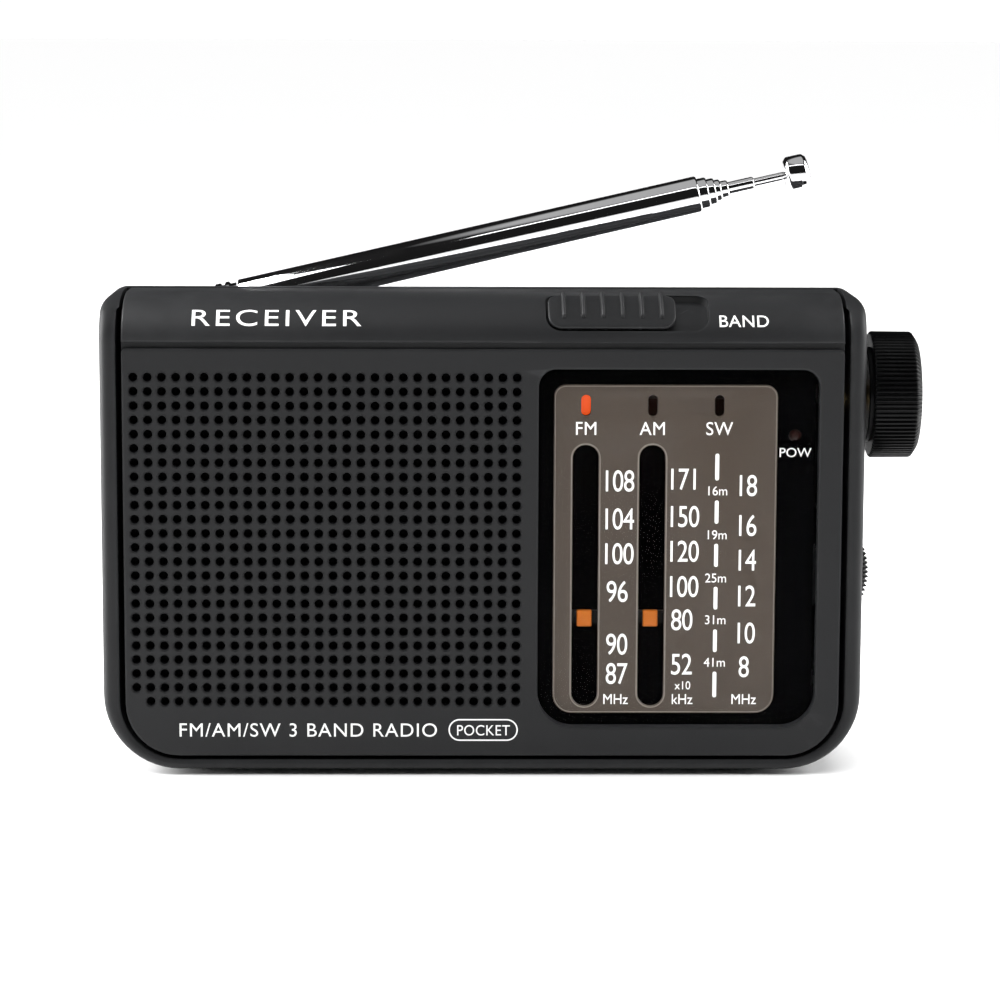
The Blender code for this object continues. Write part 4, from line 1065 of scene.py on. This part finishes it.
# Pale lines along the plate's edge and round the two slots are painted highlights, where those edges catch the
# light.
outlines = bmesh.new()
HIGHLIGHT_WIDTH = 0.12
edge_ring = rounded_rect(PLATE_X, PLATE_Z, PLATE_RADII, 0.15)
inner_ring = rounded_rect(PLATE_X, PLATE_Z, PLATE_RADII, 0.15 + HIGHLIGHT_WIDTH)
draw_flat_line(outlines, edge_ring, inner_ring, PRINT_Y)
SLOT_HALF, SLOT_Z = 2.025, (11.85, 53.25)
for x in SCALE_X[:2]:
    slot_x = (x - SLOT_HALF, x + SLOT_HALF)
    radii = (SLOT_HALF - 0.01, SLOT_HALF - 0.01)
    draw_flat_line(outlines, rounded_rect(slot_x, SLOT_Z, radii, -0.3), rounded_rect(slot_x, SLOT_Z, radii, -0.1),
               PRINT_Y)
painted_edge_highlight = with_group("painted_edge_highlight_line", skin_group, (0.16, 0.14, 0.12), Roughness=0.45, Grain_size=0.12)
finish_piece("dial_edge_highlights", thicken(outlines), painted_edge_highlight)
power_mark = bmesh.new()
print_label(power_mark, "POW", (led_low.x + led_high.x) / 2, 52.1, MASK_FRONT - 0.005, 1.5, squeeze=1.05)
finish_piece("power_mark", thicken(power_mark), white_ink)

# %% Words on the face
words = bmesh.new()
FACE_INK_Y = CASE_FRONT + 0.028
print_label(words, "FM/AM/SW 3 BAND RADIO", -27.4, 8.35, FACE_INK_Y, 2.25, squeeze=1.02, spacing=1.1)
print_label(words, "POCKET", 0.1, 8.3, FACE_INK_Y, 1.75, squeeze=0.9, spacing=1.05)
PILL_X, PILL_Z = (-5.35, 5.55), (6.55, 10.05)
pill_radii = (1.74, 1.74)
draw_flat_line(words, rounded_rect(PILL_X, PILL_Z, pill_radii), rounded_rect(PILL_X, PILL_Z, pill_radii, 0.22),
           FACE_INK_Y)
finish_piece("face_words", thicken(words), white_ink)


def wrap_on_band(name, text, x, length, height, **style):
    """Slices lettering into narrow strips and wraps it on the curved band."""
    shape = letters(text, height, **style)
    strips = 14
    for strip in range(1, strips):
        level = height * strip / strips
        bmesh.ops.bisect_plane(shape, geom=shape.verts[:] + shape.edges[:] + shape.faces[:],
                               plane_co=(0, 0, level), plane_no=(0, 0, 1))
    for point in shape.verts:
        point.co = Vector(on_band(x + point.co.x, length + point.co.z, 0.008))
    for face in shape.faces:
        face.normal_update()
        if face.normal.y > 0:
            face.normal_flip()
    pushed = bmesh.ops.extrude_face_region(shape, geom=shape.faces[:], use_keep_orig=True)["geom"]
    for point in pushed:
        if isinstance(point, bmesh.types.BMVert):
            away = point.co - Vector((point.co.x, CASE_FRONT + BAND_DEPTH, BAND_BOTTOM))
            point.co += away.normalized() * 0.012
    return finish_piece(name, shape, white_ink)


wrap_on_band("receiver_word", "RECEIVER", -32.2, 2.6, 3.2, spacing=1.2, squeeze=1.22)
wrap_on_band("band_word", "BAND", 40.3, 2.6, 2.2, spacing=1.05, squeeze=0.93, weight=0.012)

# %% [markdown]
# ## The rear shell
# The back half is a tub. Its front edge is a round nose that frames the face and leans back beside the
# curved band. The outline is swept through that nose, along the side and round the back edge in one skin,
# and only then are the room inside, the step for the folded antenna, the battery bay and the openings
# carved out.

# %% The shell's outline, swept
CASE_RADII = (12.0, 2.9)
WALL, FLOOR = 2.6, 1.7
NOSE = 1.5
RIM, RIM_BELOW = 2 * NOSE, 2.0             # the nose is narrower under the face
BACK_EDGE = 1.2
SIDE_STEPS = 8


def setback(z):
    """How far the front edge lies behind the face at a height."""
    rise = min(max((z - BAND_BOTTOM) / BAND_RISE, 0.0), 1.0)
    return BAND_DEPTH * (1 - sqrt(1 - rise * rise))


def case_ring(inset, y, leaning):
    low = CASE_BOTTOM - inset * (1 - RIM_BELOW / RIM)
    outline = rounded_rect((-CASE_HALF, CASE_HALF), (low, CASE_TOP), CASE_RADII, inset, steps=14)
    top = CASE_TOP - CASE_RADII[1]
    climb = [BAND_BOTTOM + (top - BAND_BOTTOM) * step / SIDE_STEPS for step in range(SIDE_STEPS)]
    sides = CASE_HALF - inset
    outline = outline[:30] + [(sides, z) for z in climb] + outline[30:] + [(-sides, z) for z in climb[::-1]]
    return [(x, y + (setback(z) if leaning else 0.0), z) for x, z in outline]


rings = [case_ring(NOSE * (1 + cos(radians(turn))), CASE_FRONT + NOSE * (1 - sin(radians(turn))), True)
         for turn in range(0, 181, 15)]
rings += [case_ring(inset, CASE_BACK - depth, False) for inset, depth in reversed(edge_round(BACK_EDGE, 5))]
tub = loft(rings)
print("shell outline:", len(tub.verts), "points")

# %% Carve the shell
LEDGE_Y, LEDGE_Z = 4.8, 68.5
LEDGE_WALL, BAY_WALL = 1.6, 1.1
BACK_SINK = 1.5                            # how deep an inner wall sinks into the back
INSIDE = (-CASE_HALF + WALL, CASE_HALF - WALL)
INSIDE_LOW = CASE_BOTTOM + FLOOR
BAY_X, BAY_Z, BAY_FRONT = (8.3, 37.6), (3.6, 58.2), -1.5
door_low, door_high = box_mm("battery_door")
GAP = 0.3
shaft_low, shaft_high = box_mm("tuning_shaft")
SHAFT_PLACE = (0, (shaft_low.y + shaft_high.y) / 2, (shaft_low.z + shaft_high.z) / 2)
jack_low, jack_high = box_mm("earphone_jack")
JACK_PLACE = (0, (jack_low.y + jack_high.y) / 2, (jack_low.z + jack_high.z) / 2)
wheel_low, wheel_high = box_mm("volume_wheel")
WHEEL_Z = (wheel_low.z + wheel_high.z) / 2
screws = [box_mm(f"case_screw_{number}") for number in range(1, 5)]
SCREW_PLACES = [((low.x + high.x) / 2, (low.z + high.z) / 2) for low, high in screws]
SCREW_SEAT, SCREW_HEAD = 5.3, 2.1
PILLAR_FRONT, PILLAR_RADIUS, SCREW_HOLE = -5.0, 2.7, 1.5
BUSH_HOLE, JACK_HOLE, SWIVEL_HOLE = 2.9, 3.3, 2.4
WHEEL_ROOM, WHEEL_SLOT_HALF = 0.4, 10.2
pivot = point_mm(joints["antenna_swivel"]["pos_m"])
outer_wall = (INSIDE[1] - 0.25, CASE_HALF + 1)
WHEEL_FRONT, WHEEL_BACK = wheel_low.y, 5.7
wheel_slot = slab((WHEEL_FRONT - WHEEL_ROOM, WHEEL_BACK + WHEEL_ROOM),
                  (WHEEL_Z - WHEEL_SLOT_HALF, WHEEL_Z + WHEEL_SLOT_HALF), (1.2, 1.2), *outer_wall)
bmesh.ops.transform(wheel_slot, matrix=Matrix(((0, 1, 0, 0), (1, 0, 0, 0), (0, 0, 1, 0), (0, 0, 0, 1))),
                    verts=wheel_slot.verts[:])
room = slab(INSIDE, (INSIDE_LOW, CASE_TOP - BAND_WALL), (CASE_RADII[0] - WALL, 0.6), CASE_FRONT - 5,
            CASE_BACK - 2)
ledge_walls = block((INSIDE[0] - 0.7, LEDGE_Y - LEDGE_WALL, LEDGE_Z - LEDGE_WALL),
                    (INSIDE[1] + 0.7, CASE_BACK - BACK_SINK, CASE_TOP - 1))
band_space = block((-CASE_HALF + RIM, CASE_FRONT - 5, FACE_TOP - 3),
                   (CASE_HALF - RIM, PARTING_Y + GAP, CASE_TOP + 3))
antenna_step = block((-70, LEDGE_Y, LEDGE_Z), (70, CASE_BACK + 3, CASE_TOP + 3))
bay_walls = block((BAY_X[0] - BAY_WALL, BAY_FRONT - 1, INSIDE_LOW - 0.5),
                  (BAY_X[1] + BAY_WALL, CASE_BACK - BACK_SINK, BAY_Z[1] + BAY_WALL))
bay = slab(BAY_X, BAY_Z, (0.8, 0.8), BAY_FRONT, CASE_BACK + 1)
door_seat = slab((door_low.x - GAP, door_high.x + GAP), (door_low.z - GAP, door_high.z + GAP), (1.3, 1.3),
                 door_low.y - GAP, CASE_BACK + 1)
bush_hole = bar((1, 0, 0), SHAFT_PLACE, *outer_wall, BUSH_HOLE)
jack_hole = bar((1, 0, 0), JACK_PLACE, -outer_wall[1], -outer_wall[0], JACK_HOLE)
swivel_hole = bar((0, 0, 1), (pivot.x, pivot.y, 0), LEDGE_Z - 3, LEDGE_Z + 1, SWIVEL_HOLE)
steps = cut(room) + join(ledge_walls) + cut(band_space, antenna_step) + join(bay_walls)
steps += cut(bay, door_seat, bush_hole, wheel_slot, jack_hole, swivel_hole)
for x, z in SCREW_PLACES:
    steps += join(bar((0, 1, 0), (x, 0, z), PILLAR_FRONT, CASE_BACK - 1, PILLAR_RADIUS))
    steps += cut(bar((0, 1, 0), (x, 0, z), PILLAR_FRONT - 1, CASE_BACK + 1, SCREW_HOLE),
                 bar((0, 1, 0), (x, 0, z), SCREW_SEAT - GAP, CASE_BACK + 1, SCREW_HEAD + GAP))
for name in ("foot_left", "foot_right"):
    low, high = box_mm(name)
    steps += cut(block((low.x - GAP, low.y - GAP, -1), (high.x + GAP, high.y + GAP, high.z + GAP)))
finish_piece("rear_tub", carve(tub, steps), charcoal, stands_for=["rear_shell"], below=33)

# %% [markdown]
# ## Battery door, feet and screws
# The door lifts straight off. It has a grooved thumb grip and an arrow, both moulded in. The feet are two
# soft strips pressed into slots, and the screws sit deep in their wells.

# %% Battery door
DOOR_X, DOOR_Z = (door_low.x, door_high.x), (door_low.z, door_high.z)
door_middle = sum(DOOR_X) / 2
door = slab(DOOR_X, DOOR_Z, (1.0, 1.0), -door_high.y, -door_low.y, 0.25)
bmesh.ops.rotate(door, cent=(0, 0, 0), matrix=Matrix.Scale(-1, 3, (0, 1, 0)), verts=door.verts[:])
GRIP_LOW, GRIP_HIGH = DOOR_Z[1] - 7, DOOR_Z[1] - 4
steps = cut(slab((door_middle - 7, door_middle + 7), (GRIP_LOW, GRIP_HIGH), (1.4, 1.4), CASE_BACK - 0.6,
                 CASE_BACK + 1))
for level in range(5):
    z = GRIP_LOW - 2.0 - 1.3 * level
    steps += cut(slab((door_middle - 6, door_middle + 6), (z - 0.3, z + 0.3), (0.28, 0.28), CASE_BACK - 0.35,
                      CASE_BACK + 1))
arrow = [(door_middle - 3, GRIP_LOW - 12), (door_middle, GRIP_LOW - 15.5), (door_middle + 3, GRIP_LOW - 12)]
steps += cut(loft([standing(arrow, CASE_BACK - 0.45), standing(arrow, CASE_BACK + 1)]))
finish_piece("door_panel", carve(door, steps), charcoal, "door", ["battery_door"])

# %% Feet
FOOT_RADII, FOOT_EDGE = (0.6, 0.6), 0.3


def foot_ring(low, high, inset, z):
    outline = rounded_rect((low.x, high.x), (low.y, high.y), FOOT_RADII, inset, steps=5)
    return [(x, y, z) for x, y in outline]


for name in ("foot_left", "foot_right"):
    low, high = box_mm(name)
    rings = [foot_ring(low, high, inset, low.z + depth) for inset, depth in edge_round(FOOT_EDGE)]
    rings.append(foot_ring(low, high, 0.0, high.z))
    finish_piece(f"{name}_strip", loft(rings), soft_black, stands_for=[name])

# %% Screws
head_profile = [(0.0, 2.0), (0.15, SCREW_HEAD), (0.9, SCREW_HEAD), (1.3, 1.9), (1.65, 1.35), (1.8, 0.0)]
screw_profile = [(-10.5, 0.0), (-10.2, 0.6), (-9.6, 0.9), (SCREW_SEAT, 0.9)]
screw_profile += [(SCREW_SEAT + along, radius) for along, radius in head_profile]
for number, (x, z) in enumerate(SCREW_PLACES, 1):
    head = turned(screw_profile, 40)
    bmesh.ops.transform(head, matrix=along_axis((0, 1, 0), (x, 0, z)), verts=head.verts[:])
    cross = [block((x - a, SCREW_SEAT + 0.9, z - b), (x + a, SCREW_SEAT + 3, z + b))
             for a, b in ((1.1, 0.25), (0.25, 1.1))]
    finish_piece(f"screw_{number}", carve(head, cut(*cross)), steel,
                 stands_for=[f"case_screw_{number}"])

# %% [markdown]
# ## The window and the black frame behind it
# The lens is a thin clear plate with a generous rounded edge. That edge is what catches the long soft boxes
# and draws the bright arcs in its corners.

# %% Lens
lens = bmesh.new()
lens_x, lens_z = (lens_low.x, lens_high.x), (lens_low.z, lens_high.z)
LENS_RADII = (WINDOW_RADII[0] - WINDOW_GAP, WINDOW_RADII[1] - WINDOW_GAP)
rings = [standing(rounded_rect(lens_x, lens_z, LENS_RADII, inset), lens_low.y + depth)
         for inset, depth in edge_round(0.4, 6)]
rings.append(standing(rounded_rect(lens_x, lens_z, LENS_RADII), lens_high.y))
rows = skin(lens, rings)
lens.faces.new(rows[0])
lens.faces.new(rows[-1])
finish_piece("window_lens", lens, clear, stands_for=["dial_window"])

# %% Taupe plate with its slots and flag holes
FLAG_Z, FLAG_HALF = 59.45, (0.75, 1.65)
PLATE_EDGE = 0.08
plate = bmesh.new()
fronts, backs = [], []
holes = [((x - SLOT_HALF, x + SLOT_HALF), SLOT_Z, SLOT_HALF - 0.01) for x in SCALE_X[:2]]
wide, high = FLAG_HALF
holes += [((x - wide, x + wide), (FLAG_Z - high, FLAG_Z + high), wide - 0.01) for x in SCALE_X]
outlines = [(PLATE_X, PLATE_Z, PLATE_RADII, 1)] + [(*hole[:2], (hole[2], hole[2]), -1) for hole in holes]
for x_range, z_range, radii, way in outlines:
    rings = [standing(rounded_rect(x_range, z_range, radii, way * inset), plate_low.y + depth)
             for inset, depth in edge_round(PLATE_EDGE, 3)]
    rows = skin(plate, rings + [standing(rounded_rect(x_range, z_range, radii), plate_high.y)])
    fronts.append(rows[0])
    backs.append(rows[-1])
fill_between(plate, fronts)
fill_between(plate, backs)
finish_piece("taupe_plate", plate, taupe, stands_for=["dial_plate"])

# %% Pointers and power lamp
for name in ("pointer_fm", "pointer_am"):
    low, high = box_mm(name)
    block_shape = slab((low.x, high.x), (low.z, high.z), (0.22, 0.22), low.y, high.y, 0.2)
    finish_piece(f"{name}_block", block_shape, orange, "carriage", [name])
lamp_profile = [(-12.6, 0.0), (-12.57, 0.25), (-12.47, 0.48), (-12.3, 0.66), (-12.1, 0.75), (-11.0, 0.75),
                (-11.0, 1.2), (-8.0, 1.2), (-8.0, 0.0)]
lamp_place = ((led_low.x + led_high.x) / 2, 0, (led_low.z + led_high.z) / 2)
finish_piece("power_lamp", turned(lamp_profile, 32), red_lens, stands_for=["power_led"],
             place=along_axis((0, 1, 0), lamp_place))

# %% [markdown]
# ## A black card of painted shade behind the pointers
# Through the long slots nothing should show but the pointers and the shade behind them. A thin black card
# stands behind their carriage as painted shade and hides the circuit board. It is a plain slab, because only its
# darkness is ever seen.

# %% Dial card of painted shade
CARRIAGE_BACK = box_mm("pointer_carriage")[1].y
CARD_SPACE, CARD_THICK, CARD_MARGIN = 0.5, 0.25, 1.2
card_y = CARRIAGE_BACK + CARD_SPACE
shade_card = slab((SCALE_X[0] - SLOT_HALF - CARD_MARGIN, SCALE_X[1] + SLOT_HALF + CARD_MARGIN),
            (SLOT_Z[0] - CARD_MARGIN, SLOT_Z[1] + CARD_MARGIN), (0.5, 0.5), card_y, card_y + CARD_THICK)
# The black card is painted shade: it darkens the slots where the set's inside lies in shade.
finish_piece("dial_shade_card", shade_card, mask_black)

# %% [markdown]
# ## Cloth behind the grille
# A sheet of thin black felt is stretched over the grille's back, so that the cone does not show through the
# holes. It lies flat, so a plain fine grid is its true shape, and the weave group gives it its threads.

# %% Speaker cloth
cloth_low, cloth_high = box_mm("speaker_cloth")
CLOTH_STEP = 1.5
across = round((cloth_high.x - cloth_low.x) / CLOTH_STEP)
upward = round((cloth_high.z - cloth_low.z) / CLOTH_STEP)
cloth = bmesh.new()
cloth_y = (cloth_low.y + cloth_high.y) / 2
cloth_rows = []
for j in range(upward + 1):
    z = cloth_low.z + (cloth_high.z - cloth_low.z) * j / upward
    cloth_rows.append([(cloth_low.x + (cloth_high.x - cloth_low.x) * i / across, cloth_y, z)
                       for i in range(across + 1)])
skin(cloth, cloth_rows, closed=False)
felt = finish_piece("speaker_felt_sheet", cloth, speaker_felt, stands_for=["speaker_cloth"])

# %% [markdown]
# ## Knob and wheel
# Both are turned shapes with ribs round them. Each ring of the profile says how much of the rib depth it
# has, so the ribs run out softly at a chamfer.

# %% Tuning knob
knob_low, knob_high = box_mm("tuning_knob")
KNOB_CENTRE = Vector((0, (knob_low.y + knob_high.y) / 2, (knob_low.z + knob_high.z) / 2))
KNOB_RADIUS = (knob_high.z - knob_low.z) / 2
KNOB_IN, KNOB_OUT = 61.0, knob_high.x
KNOB_RIBS, KNOB_RIB_DEPTH = 86, 0.42
knob_profile = [(KNOB_IN - 0.7, 2.0), (KNOB_IN - 0.7, 7.3), (KNOB_IN - 0.5, 7.5), (KNOB_IN, 7.5),
                (KNOB_IN, 9.1), (KNOB_IN, 9.6, 0.2), (KNOB_IN + 0.1, 9.85, 0.7),
                (KNOB_IN + 0.3, KNOB_RADIUS, 1.0),
                (KNOB_OUT - 1.2, KNOB_RADIUS - 0.05, 1.0), (KNOB_OUT - 0.9, KNOB_RADIUS - 0.2, 1.0),
                (KNOB_OUT - 0.3, KNOB_RADIUS - 1.1, 0.9), (KNOB_OUT - 0.05, KNOB_RADIUS - 1.6, 0.4),
                (KNOB_OUT, KNOB_RADIUS - 1.9, 0.0), (KNOB_OUT - 0.02, KNOB_RADIUS - 2.3),
                (KNOB_OUT - 0.2, KNOB_RADIUS - 2.7), (KNOB_OUT - 0.3, KNOB_RADIUS - 3.4),
                (KNOB_OUT - 0.45, 0)]
knob = turned(knob_profile, ribs=KNOB_RIBS, rib_depth=KNOB_RIB_DEPTH,
              rib_shape=(0, 0.05, 0.55, 1, 1, 0.55, 0.05))
finish_piece("ribbed_tuning_knob", knob, knob_black, "tuning", ["tuning_knob"], below=40,
             place=Matrix.Translation(KNOB_CENTRE))

# %% Volume wheel
WHEEL_CENTRE = Vector(((wheel_low.x + wheel_high.x) / 2, 0, (wheel_low.z + wheel_high.z) / 2))
WHEEL_RADIUS = (wheel_high.z - wheel_low.z) / 2
WHEEL_TEETH, TOOTH_DEPTH = 92, 0.55
wheel_profile = [(WHEEL_FRONT, 0), (WHEEL_FRONT, WHEEL_RADIUS - 1.2),
                 (WHEEL_FRONT + 0.1, WHEEL_RADIUS - 0.7, 0.4),
                 (WHEEL_FRONT + 0.5, WHEEL_RADIUS, 1.0), (WHEEL_BACK - 0.5, WHEEL_RADIUS, 1.0),
                 (WHEEL_BACK - 0.1, WHEEL_RADIUS - 0.7, 0.4), (WHEEL_BACK, WHEEL_RADIUS - 1.2),
                 (WHEEL_BACK, 3.2), (WHEEL_BACK + 0.5, 3.0), (WHEEL_BACK + 0.55, 0)]
wheel = turned(wheel_profile, ribs=WHEEL_TEETH, rib_depth=TOOTH_DEPTH, rib_shape=(0, 0.3, 0.8, 1, 0.8, 0.3))
finish_piece("toothed_volume_wheel", wheel, knob_black, "volume", ["volume_wheel"], below=30,
             place=along_axis((0, 1, 0), WHEEL_CENTRE))

# %% [markdown]
# ## The telescopic antenna
# Seven drawn tubes slide in each other. Each one is rolled in at its end, over the next, and that small
# rounded shoulder is what makes the row of bright rings. The tilt axis and the sliding direction come from
# the frame's own joints.

# %% Antenna tubes
PIVOT = point_mm(joints["antenna_tilt"]["pos_m"])
DIRECTION = Vector(joints["extend_2"]["axis"]).normalized()
RADII = (3.15, 2.65, 2.25, 1.85, 1.45, 1.05, 0.7)
STARTS = (8.6, 9.6, 11.0, 12.0, 13.0, 15.0, 20.0)
ENDS = (84.1, 85.6, 86.8, 87.7, 88.9, 93.1, 98.2)
BODIES = ("arm", "stage_2", "stage_3", "stage_4", "stage_5", "stage_6", "stage_7")
TUBE_PLAY, LARGEST_ROLL = 0.08, 0.42
place_arm = along_axis(DIRECTION, PIVOT)
for number, (radius, start, end, body) in enumerate(zip(RADII, STARTS, ENDS, BODIES), 1):
    solid = number == len(RADII)               # the thinnest stage is a rod, the others are tubes
    roll = min(LARGEST_ROLL, radius * 0.35)
    bore = 0.0 if solid else RADII[number] + TUBE_PLAY
    tube = [(start, bore), (start, radius - 0.08), (start + 0.08, radius), (end - roll - 0.5, radius)]
    for turn in range(0, 91, 15):
        forward, drop = sin(radians(turn)), 1 - cos(radians(turn))
        shrink = 0.1 * forward if solid else (radius - bore) * 0.9 * drop
        tube.append((end - roll + roll * forward, radius - shrink))
    tube += [(end, 0.0)] if solid else [(end, bore), (start, bore)]
    shape = turned(tube, steps=64)
    if not solid:
        bmesh.ops.remove_doubles(shape, verts=shape.verts[:], dist=0.0001)
    finish_piece(f"antenna_tube_{number}", shape, chrome, body, [f"antenna_section_{number}"],
                 below=50, place=place_arm)

# %% Antenna button
TIP_RADIUS, TIP_LENGTH = 2.9, 3.8
end = ENDS[-1]
button = [(end, 0.0), (end, 1.9), (end + 0.12, 2.3), (end + 0.5, TIP_RADIUS - 0.12), (end + 0.7, TIP_RADIUS),
          (end + TIP_LENGTH - 0.8, TIP_RADIUS), (end + TIP_LENGTH - 0.6, TIP_RADIUS - 0.06),
          (end + TIP_LENGTH - 0.1, TIP_RADIUS - 0.5), (end + TIP_LENGTH, TIP_RADIUS - 0.8),
          (end + TIP_LENGTH - 0.05, TIP_RADIUS - 1.1), (end + TIP_LENGTH - 0.15, 0.0)]
finish_piece("antenna_button", turned(button, steps=64), chrome, "stage_7", ["antenna_tip"],
             below=40, place=place_arm)

# %% Knuckle: a flat tongue with a turned, ringed ferrule
tongue = arc((0, 0), 2.4, 90, 270, 24) + [(5.6, -2.4), (5.6, 2.4)]
knuckle = loft([standing(tongue, -1.15), standing(tongue, 1.15)])
ferrule = [(4.6, 0.0), (4.6, 2.6), (4.75, 2.95), (5.0, 3.2), (5.7, 3.2), (5.85, 3.0), (6.0, 2.8), (6.3, 2.8),
           (6.45, 3.0), (6.6, 3.2), (7.1, 3.2), (7.25, 3.0), (7.4, 2.8), (8.3, 2.8), (8.3, 0.0)]
knuckle = carve(knuckle, join(turned(ferrule, 48)) + cut(bar((0, 1, 0), (0, 0, 0), -3, 3, 1.2)))
finish_piece("antenna_joint", knuckle, chrome, "arm", ["antenna_knuckle"], place=place_arm)

# %% Swivelling foot of the antenna, with its pin
base_top = LEDGE_Z + GAP
CHEEK_RADIUS, PIN_HOLE = 2.5, 1.2
stem = [(LEDGE_Z - 3.6, 0.0), (LEDGE_Z - 3.6, 2.75), (LEDGE_Z - 1.9, 2.75), (LEDGE_Z - 1.9, 2.1),
        (base_top, 2.1),
        (base_top, 3.8), (base_top + 0.1, 3.9), (base_top + 0.3, 3.9), (base_top + 0.4, 3.8),
        (base_top + 0.4, 0.0)]
swivel = turned(stem, 56)
bmesh.ops.transform(swivel, matrix=along_axis((0, 0, 1), (PIVOT.x, PIVOT.y, 0)), verts=swivel.verts[:])
cheek_low = base_top + 0.2
cheek = [(PIVOT.x + CHEEK_RADIUS, cheek_low), *arc((PIVOT.x, PIVOT.z), CHEEK_RADIUS, 0, 180, 24),
         (PIVOT.x - CHEEK_RADIUS, cheek_low)]
cheeks = [loft([standing(cheek, PIVOT.y + near), standing(cheek, PIVOT.y + far)])
          for near, far in ((-3.1, -1.45), (1.45, 3.1))]
pin_hole = bar((0, 1, 0), (PIVOT.x, 0, PIVOT.z), PIVOT.y - 5, PIVOT.y + 5, PIN_HOLE)
swivel = carve(swivel, join(*cheeks) + cut(pin_hole))
finish_piece("antenna_foot", swivel, knob_black, "swivel", ["antenna_base"])
pin = [(-3.1, 0.0), (-3.1, 0.7), (-2.95, 0.85), (-2.8, 0.9), (2.8, 0.9), (2.95, 0.85), (3.1, 0.7), (3.1, 0.0)]
finish_piece("antenna_rivet", turned(pin, 32), chrome, "swivel", ["antenna_pin"],
             place=along_axis((0, 1, 0), PIVOT))

# %% Earphone jack
jack_start = jack_low.x
BARREL_START, BARREL_END = -56.5, -46.0
jack = [(jack_start, 1.85), (jack_start, 2.8), (jack_start + 0.2, 3.0), (BARREL_START, 3.0),
        (BARREL_START, 4.2), (BARREL_END, 4.2), (BARREL_END, 0.0), (BARREL_END - 1, 0.0),
        (BARREL_END - 1, 1.8), (jack_start + 0.2, 1.8), (jack_start, 1.85)]
jack_shape = turned(jack, 48)
bmesh.ops.remove_doubles(jack_shape, verts=jack_shape.verts[:], dist=0.0001)
finish_piece("jack_barrel", jack_shape, soft_black, stands_for=["earphone_jack"],
             place=Matrix.Translation(JACK_PLACE))

# %% [markdown]
# ## Cells and the small metal in their bay
# With the door off, two penlight cells show. Each is a steel can in a printed sleeve that wraps a little
# over both rims, so a can and a sleeve are two pieces. The spring is a wire along a cone-shaped helix.

# %% Cells
for name in ("battery_left", "battery_right"):
    low, high = box_mm(name)
    centre = ((low.x + high.x) / 2, (low.y + high.y) / 2, 0)
    pole_up = name == "battery_left"
    foot, way = (low.z, 1) if pole_up else (high.z, -1)
    reach = high.z - low.z
    can = [(0, 0.0), (0, 4.6), (0.25, 5.2), (0.3, 6.3), (0.6, 6.75), (1.0, 6.9), (reach - 2.4, 6.9),
           (reach - 1.6, 6.5), (reach - 1.45, 5.9), (reach - 1.6, 3.4), (reach - 1.3, 2.9),
           (reach - 0.3, 2.65), (reach, 2.4), (reach, 0.0)]
    sleeve = [(0.35, 6.0), (0.3, 6.4), (0.5, 6.85), (0.95, 7.08), (reach - 2.3, 7.08), (reach - 1.7, 6.75),
              (reach - 1.4, 6.3), (reach - 1.5, 6.0), (reach - 1.75, 6.3), (reach - 2.4, 6.95), (1.0, 6.95),
              (0.6, 6.5), (0.35, 6.0)]
    for part, profile, finish, slot, stands_for in (("can", can, steel, "steel", []),
                                                    ("sleeve", sleeve, jacket, "cell", [name])):
        drawing = turned([(foot + way * along, radius) for along, radius in profile], 64)
        bmesh.ops.remove_doubles(drawing, verts=drawing.verts[:], dist=0.0001)
        finish_piece(f"{name}_{part}", drawing, finish, stands_for=stands_for, below=40,
                     place=along_axis((0, 0, 1), centre))

# %% Spring
spring_low, spring_high = box_mm("battery_spring")
cell_low, cell_high = box_mm("battery_left")
SPRING_TURNS, WIRE, STEPS_PER_TURN, WIRE_SIDES = 3.0, 0.35, 28, 12
spring = bmesh.new()
rings = []
middle = Vector(((cell_low.x + cell_high.x) / 2, (cell_low.y + cell_high.y) / 2, 0))
total = int(SPRING_TURNS * STEPS_PER_TURN)
SPRING_FOOT, SPRING_TAPER = 4.6, 1.8
wire_turns = [2 * pi * k / WIRE_SIDES for k in range(WIRE_SIDES)]
for step in range(total + 1):
    share = step / total
    turn = 2 * pi * SPRING_TURNS * share
    outward = Vector((cos(turn), sin(turn), 0))
    rise = spring_low.z + WIRE + (spring_high.z - spring_low.z - 2 * WIRE) * share
    place = middle + outward * (SPRING_FOOT - SPRING_TAPER * share) + Vector((0, 0, rise))
    rings.append([place + WIRE * (outward * cos(k) + Vector((0, 0, sin(k)))) for k in wire_turns])
rows = skin(spring, rings)
spring.faces.new(rows[0])
spring.faces.new(rows[-1])
finish_piece("cell_spring", spring, steel, stands_for=["battery_spring"])

# %% [markdown]
# ## Softening the hidden parts
# The parts inside keep their CAD shape. A CAD mesh arrives as loose triangles, each with its own corners,
# so its round parts look faceted. Welding the corners and shading by angle is all that a bush or a magnet
# needs.

# %% Weld and shade
owners = {node: body for body, nodes in frame["record"]["behaviour"]["bodies"].items() for node in nodes}
INSIDE_PARTS = ("guide_rod_left", "guide_rod_right", "tuning_shaft", "tuning_bush", "cord_pulley",
                "pulley_axle", "dial_cord", "volume_pot", "speaker_frame", "speaker_cone", "speaker_magnet",
                "capacitor_large", "capacitor_small", "ferrite_rod", "ferrite_coil", "battery_contact")
slots = {part["node"]: part["material_slot"] for part in frame["record"]["subparts"]}
for name in INSIDE_PARTS:
    source = frame["nodes"][name].data
    welded = bmesh.new()
    welded.from_mesh(source)
    bmesh.ops.remove_doubles(welded, verts=welded.verts[:], dist=0.002 * MM)
    bmesh.ops.scale(welded, vec=(1 / MM, 1 / MM, 1 / MM), verts=welded.verts[:])
    bmesh.ops.translate(welded, vec=-MIDDLE / MM, verts=welded.verts[:])
    finish_piece(f"{name}_smooth", welded, FINISHES[slots[name]], owners[name], [name], below=40)
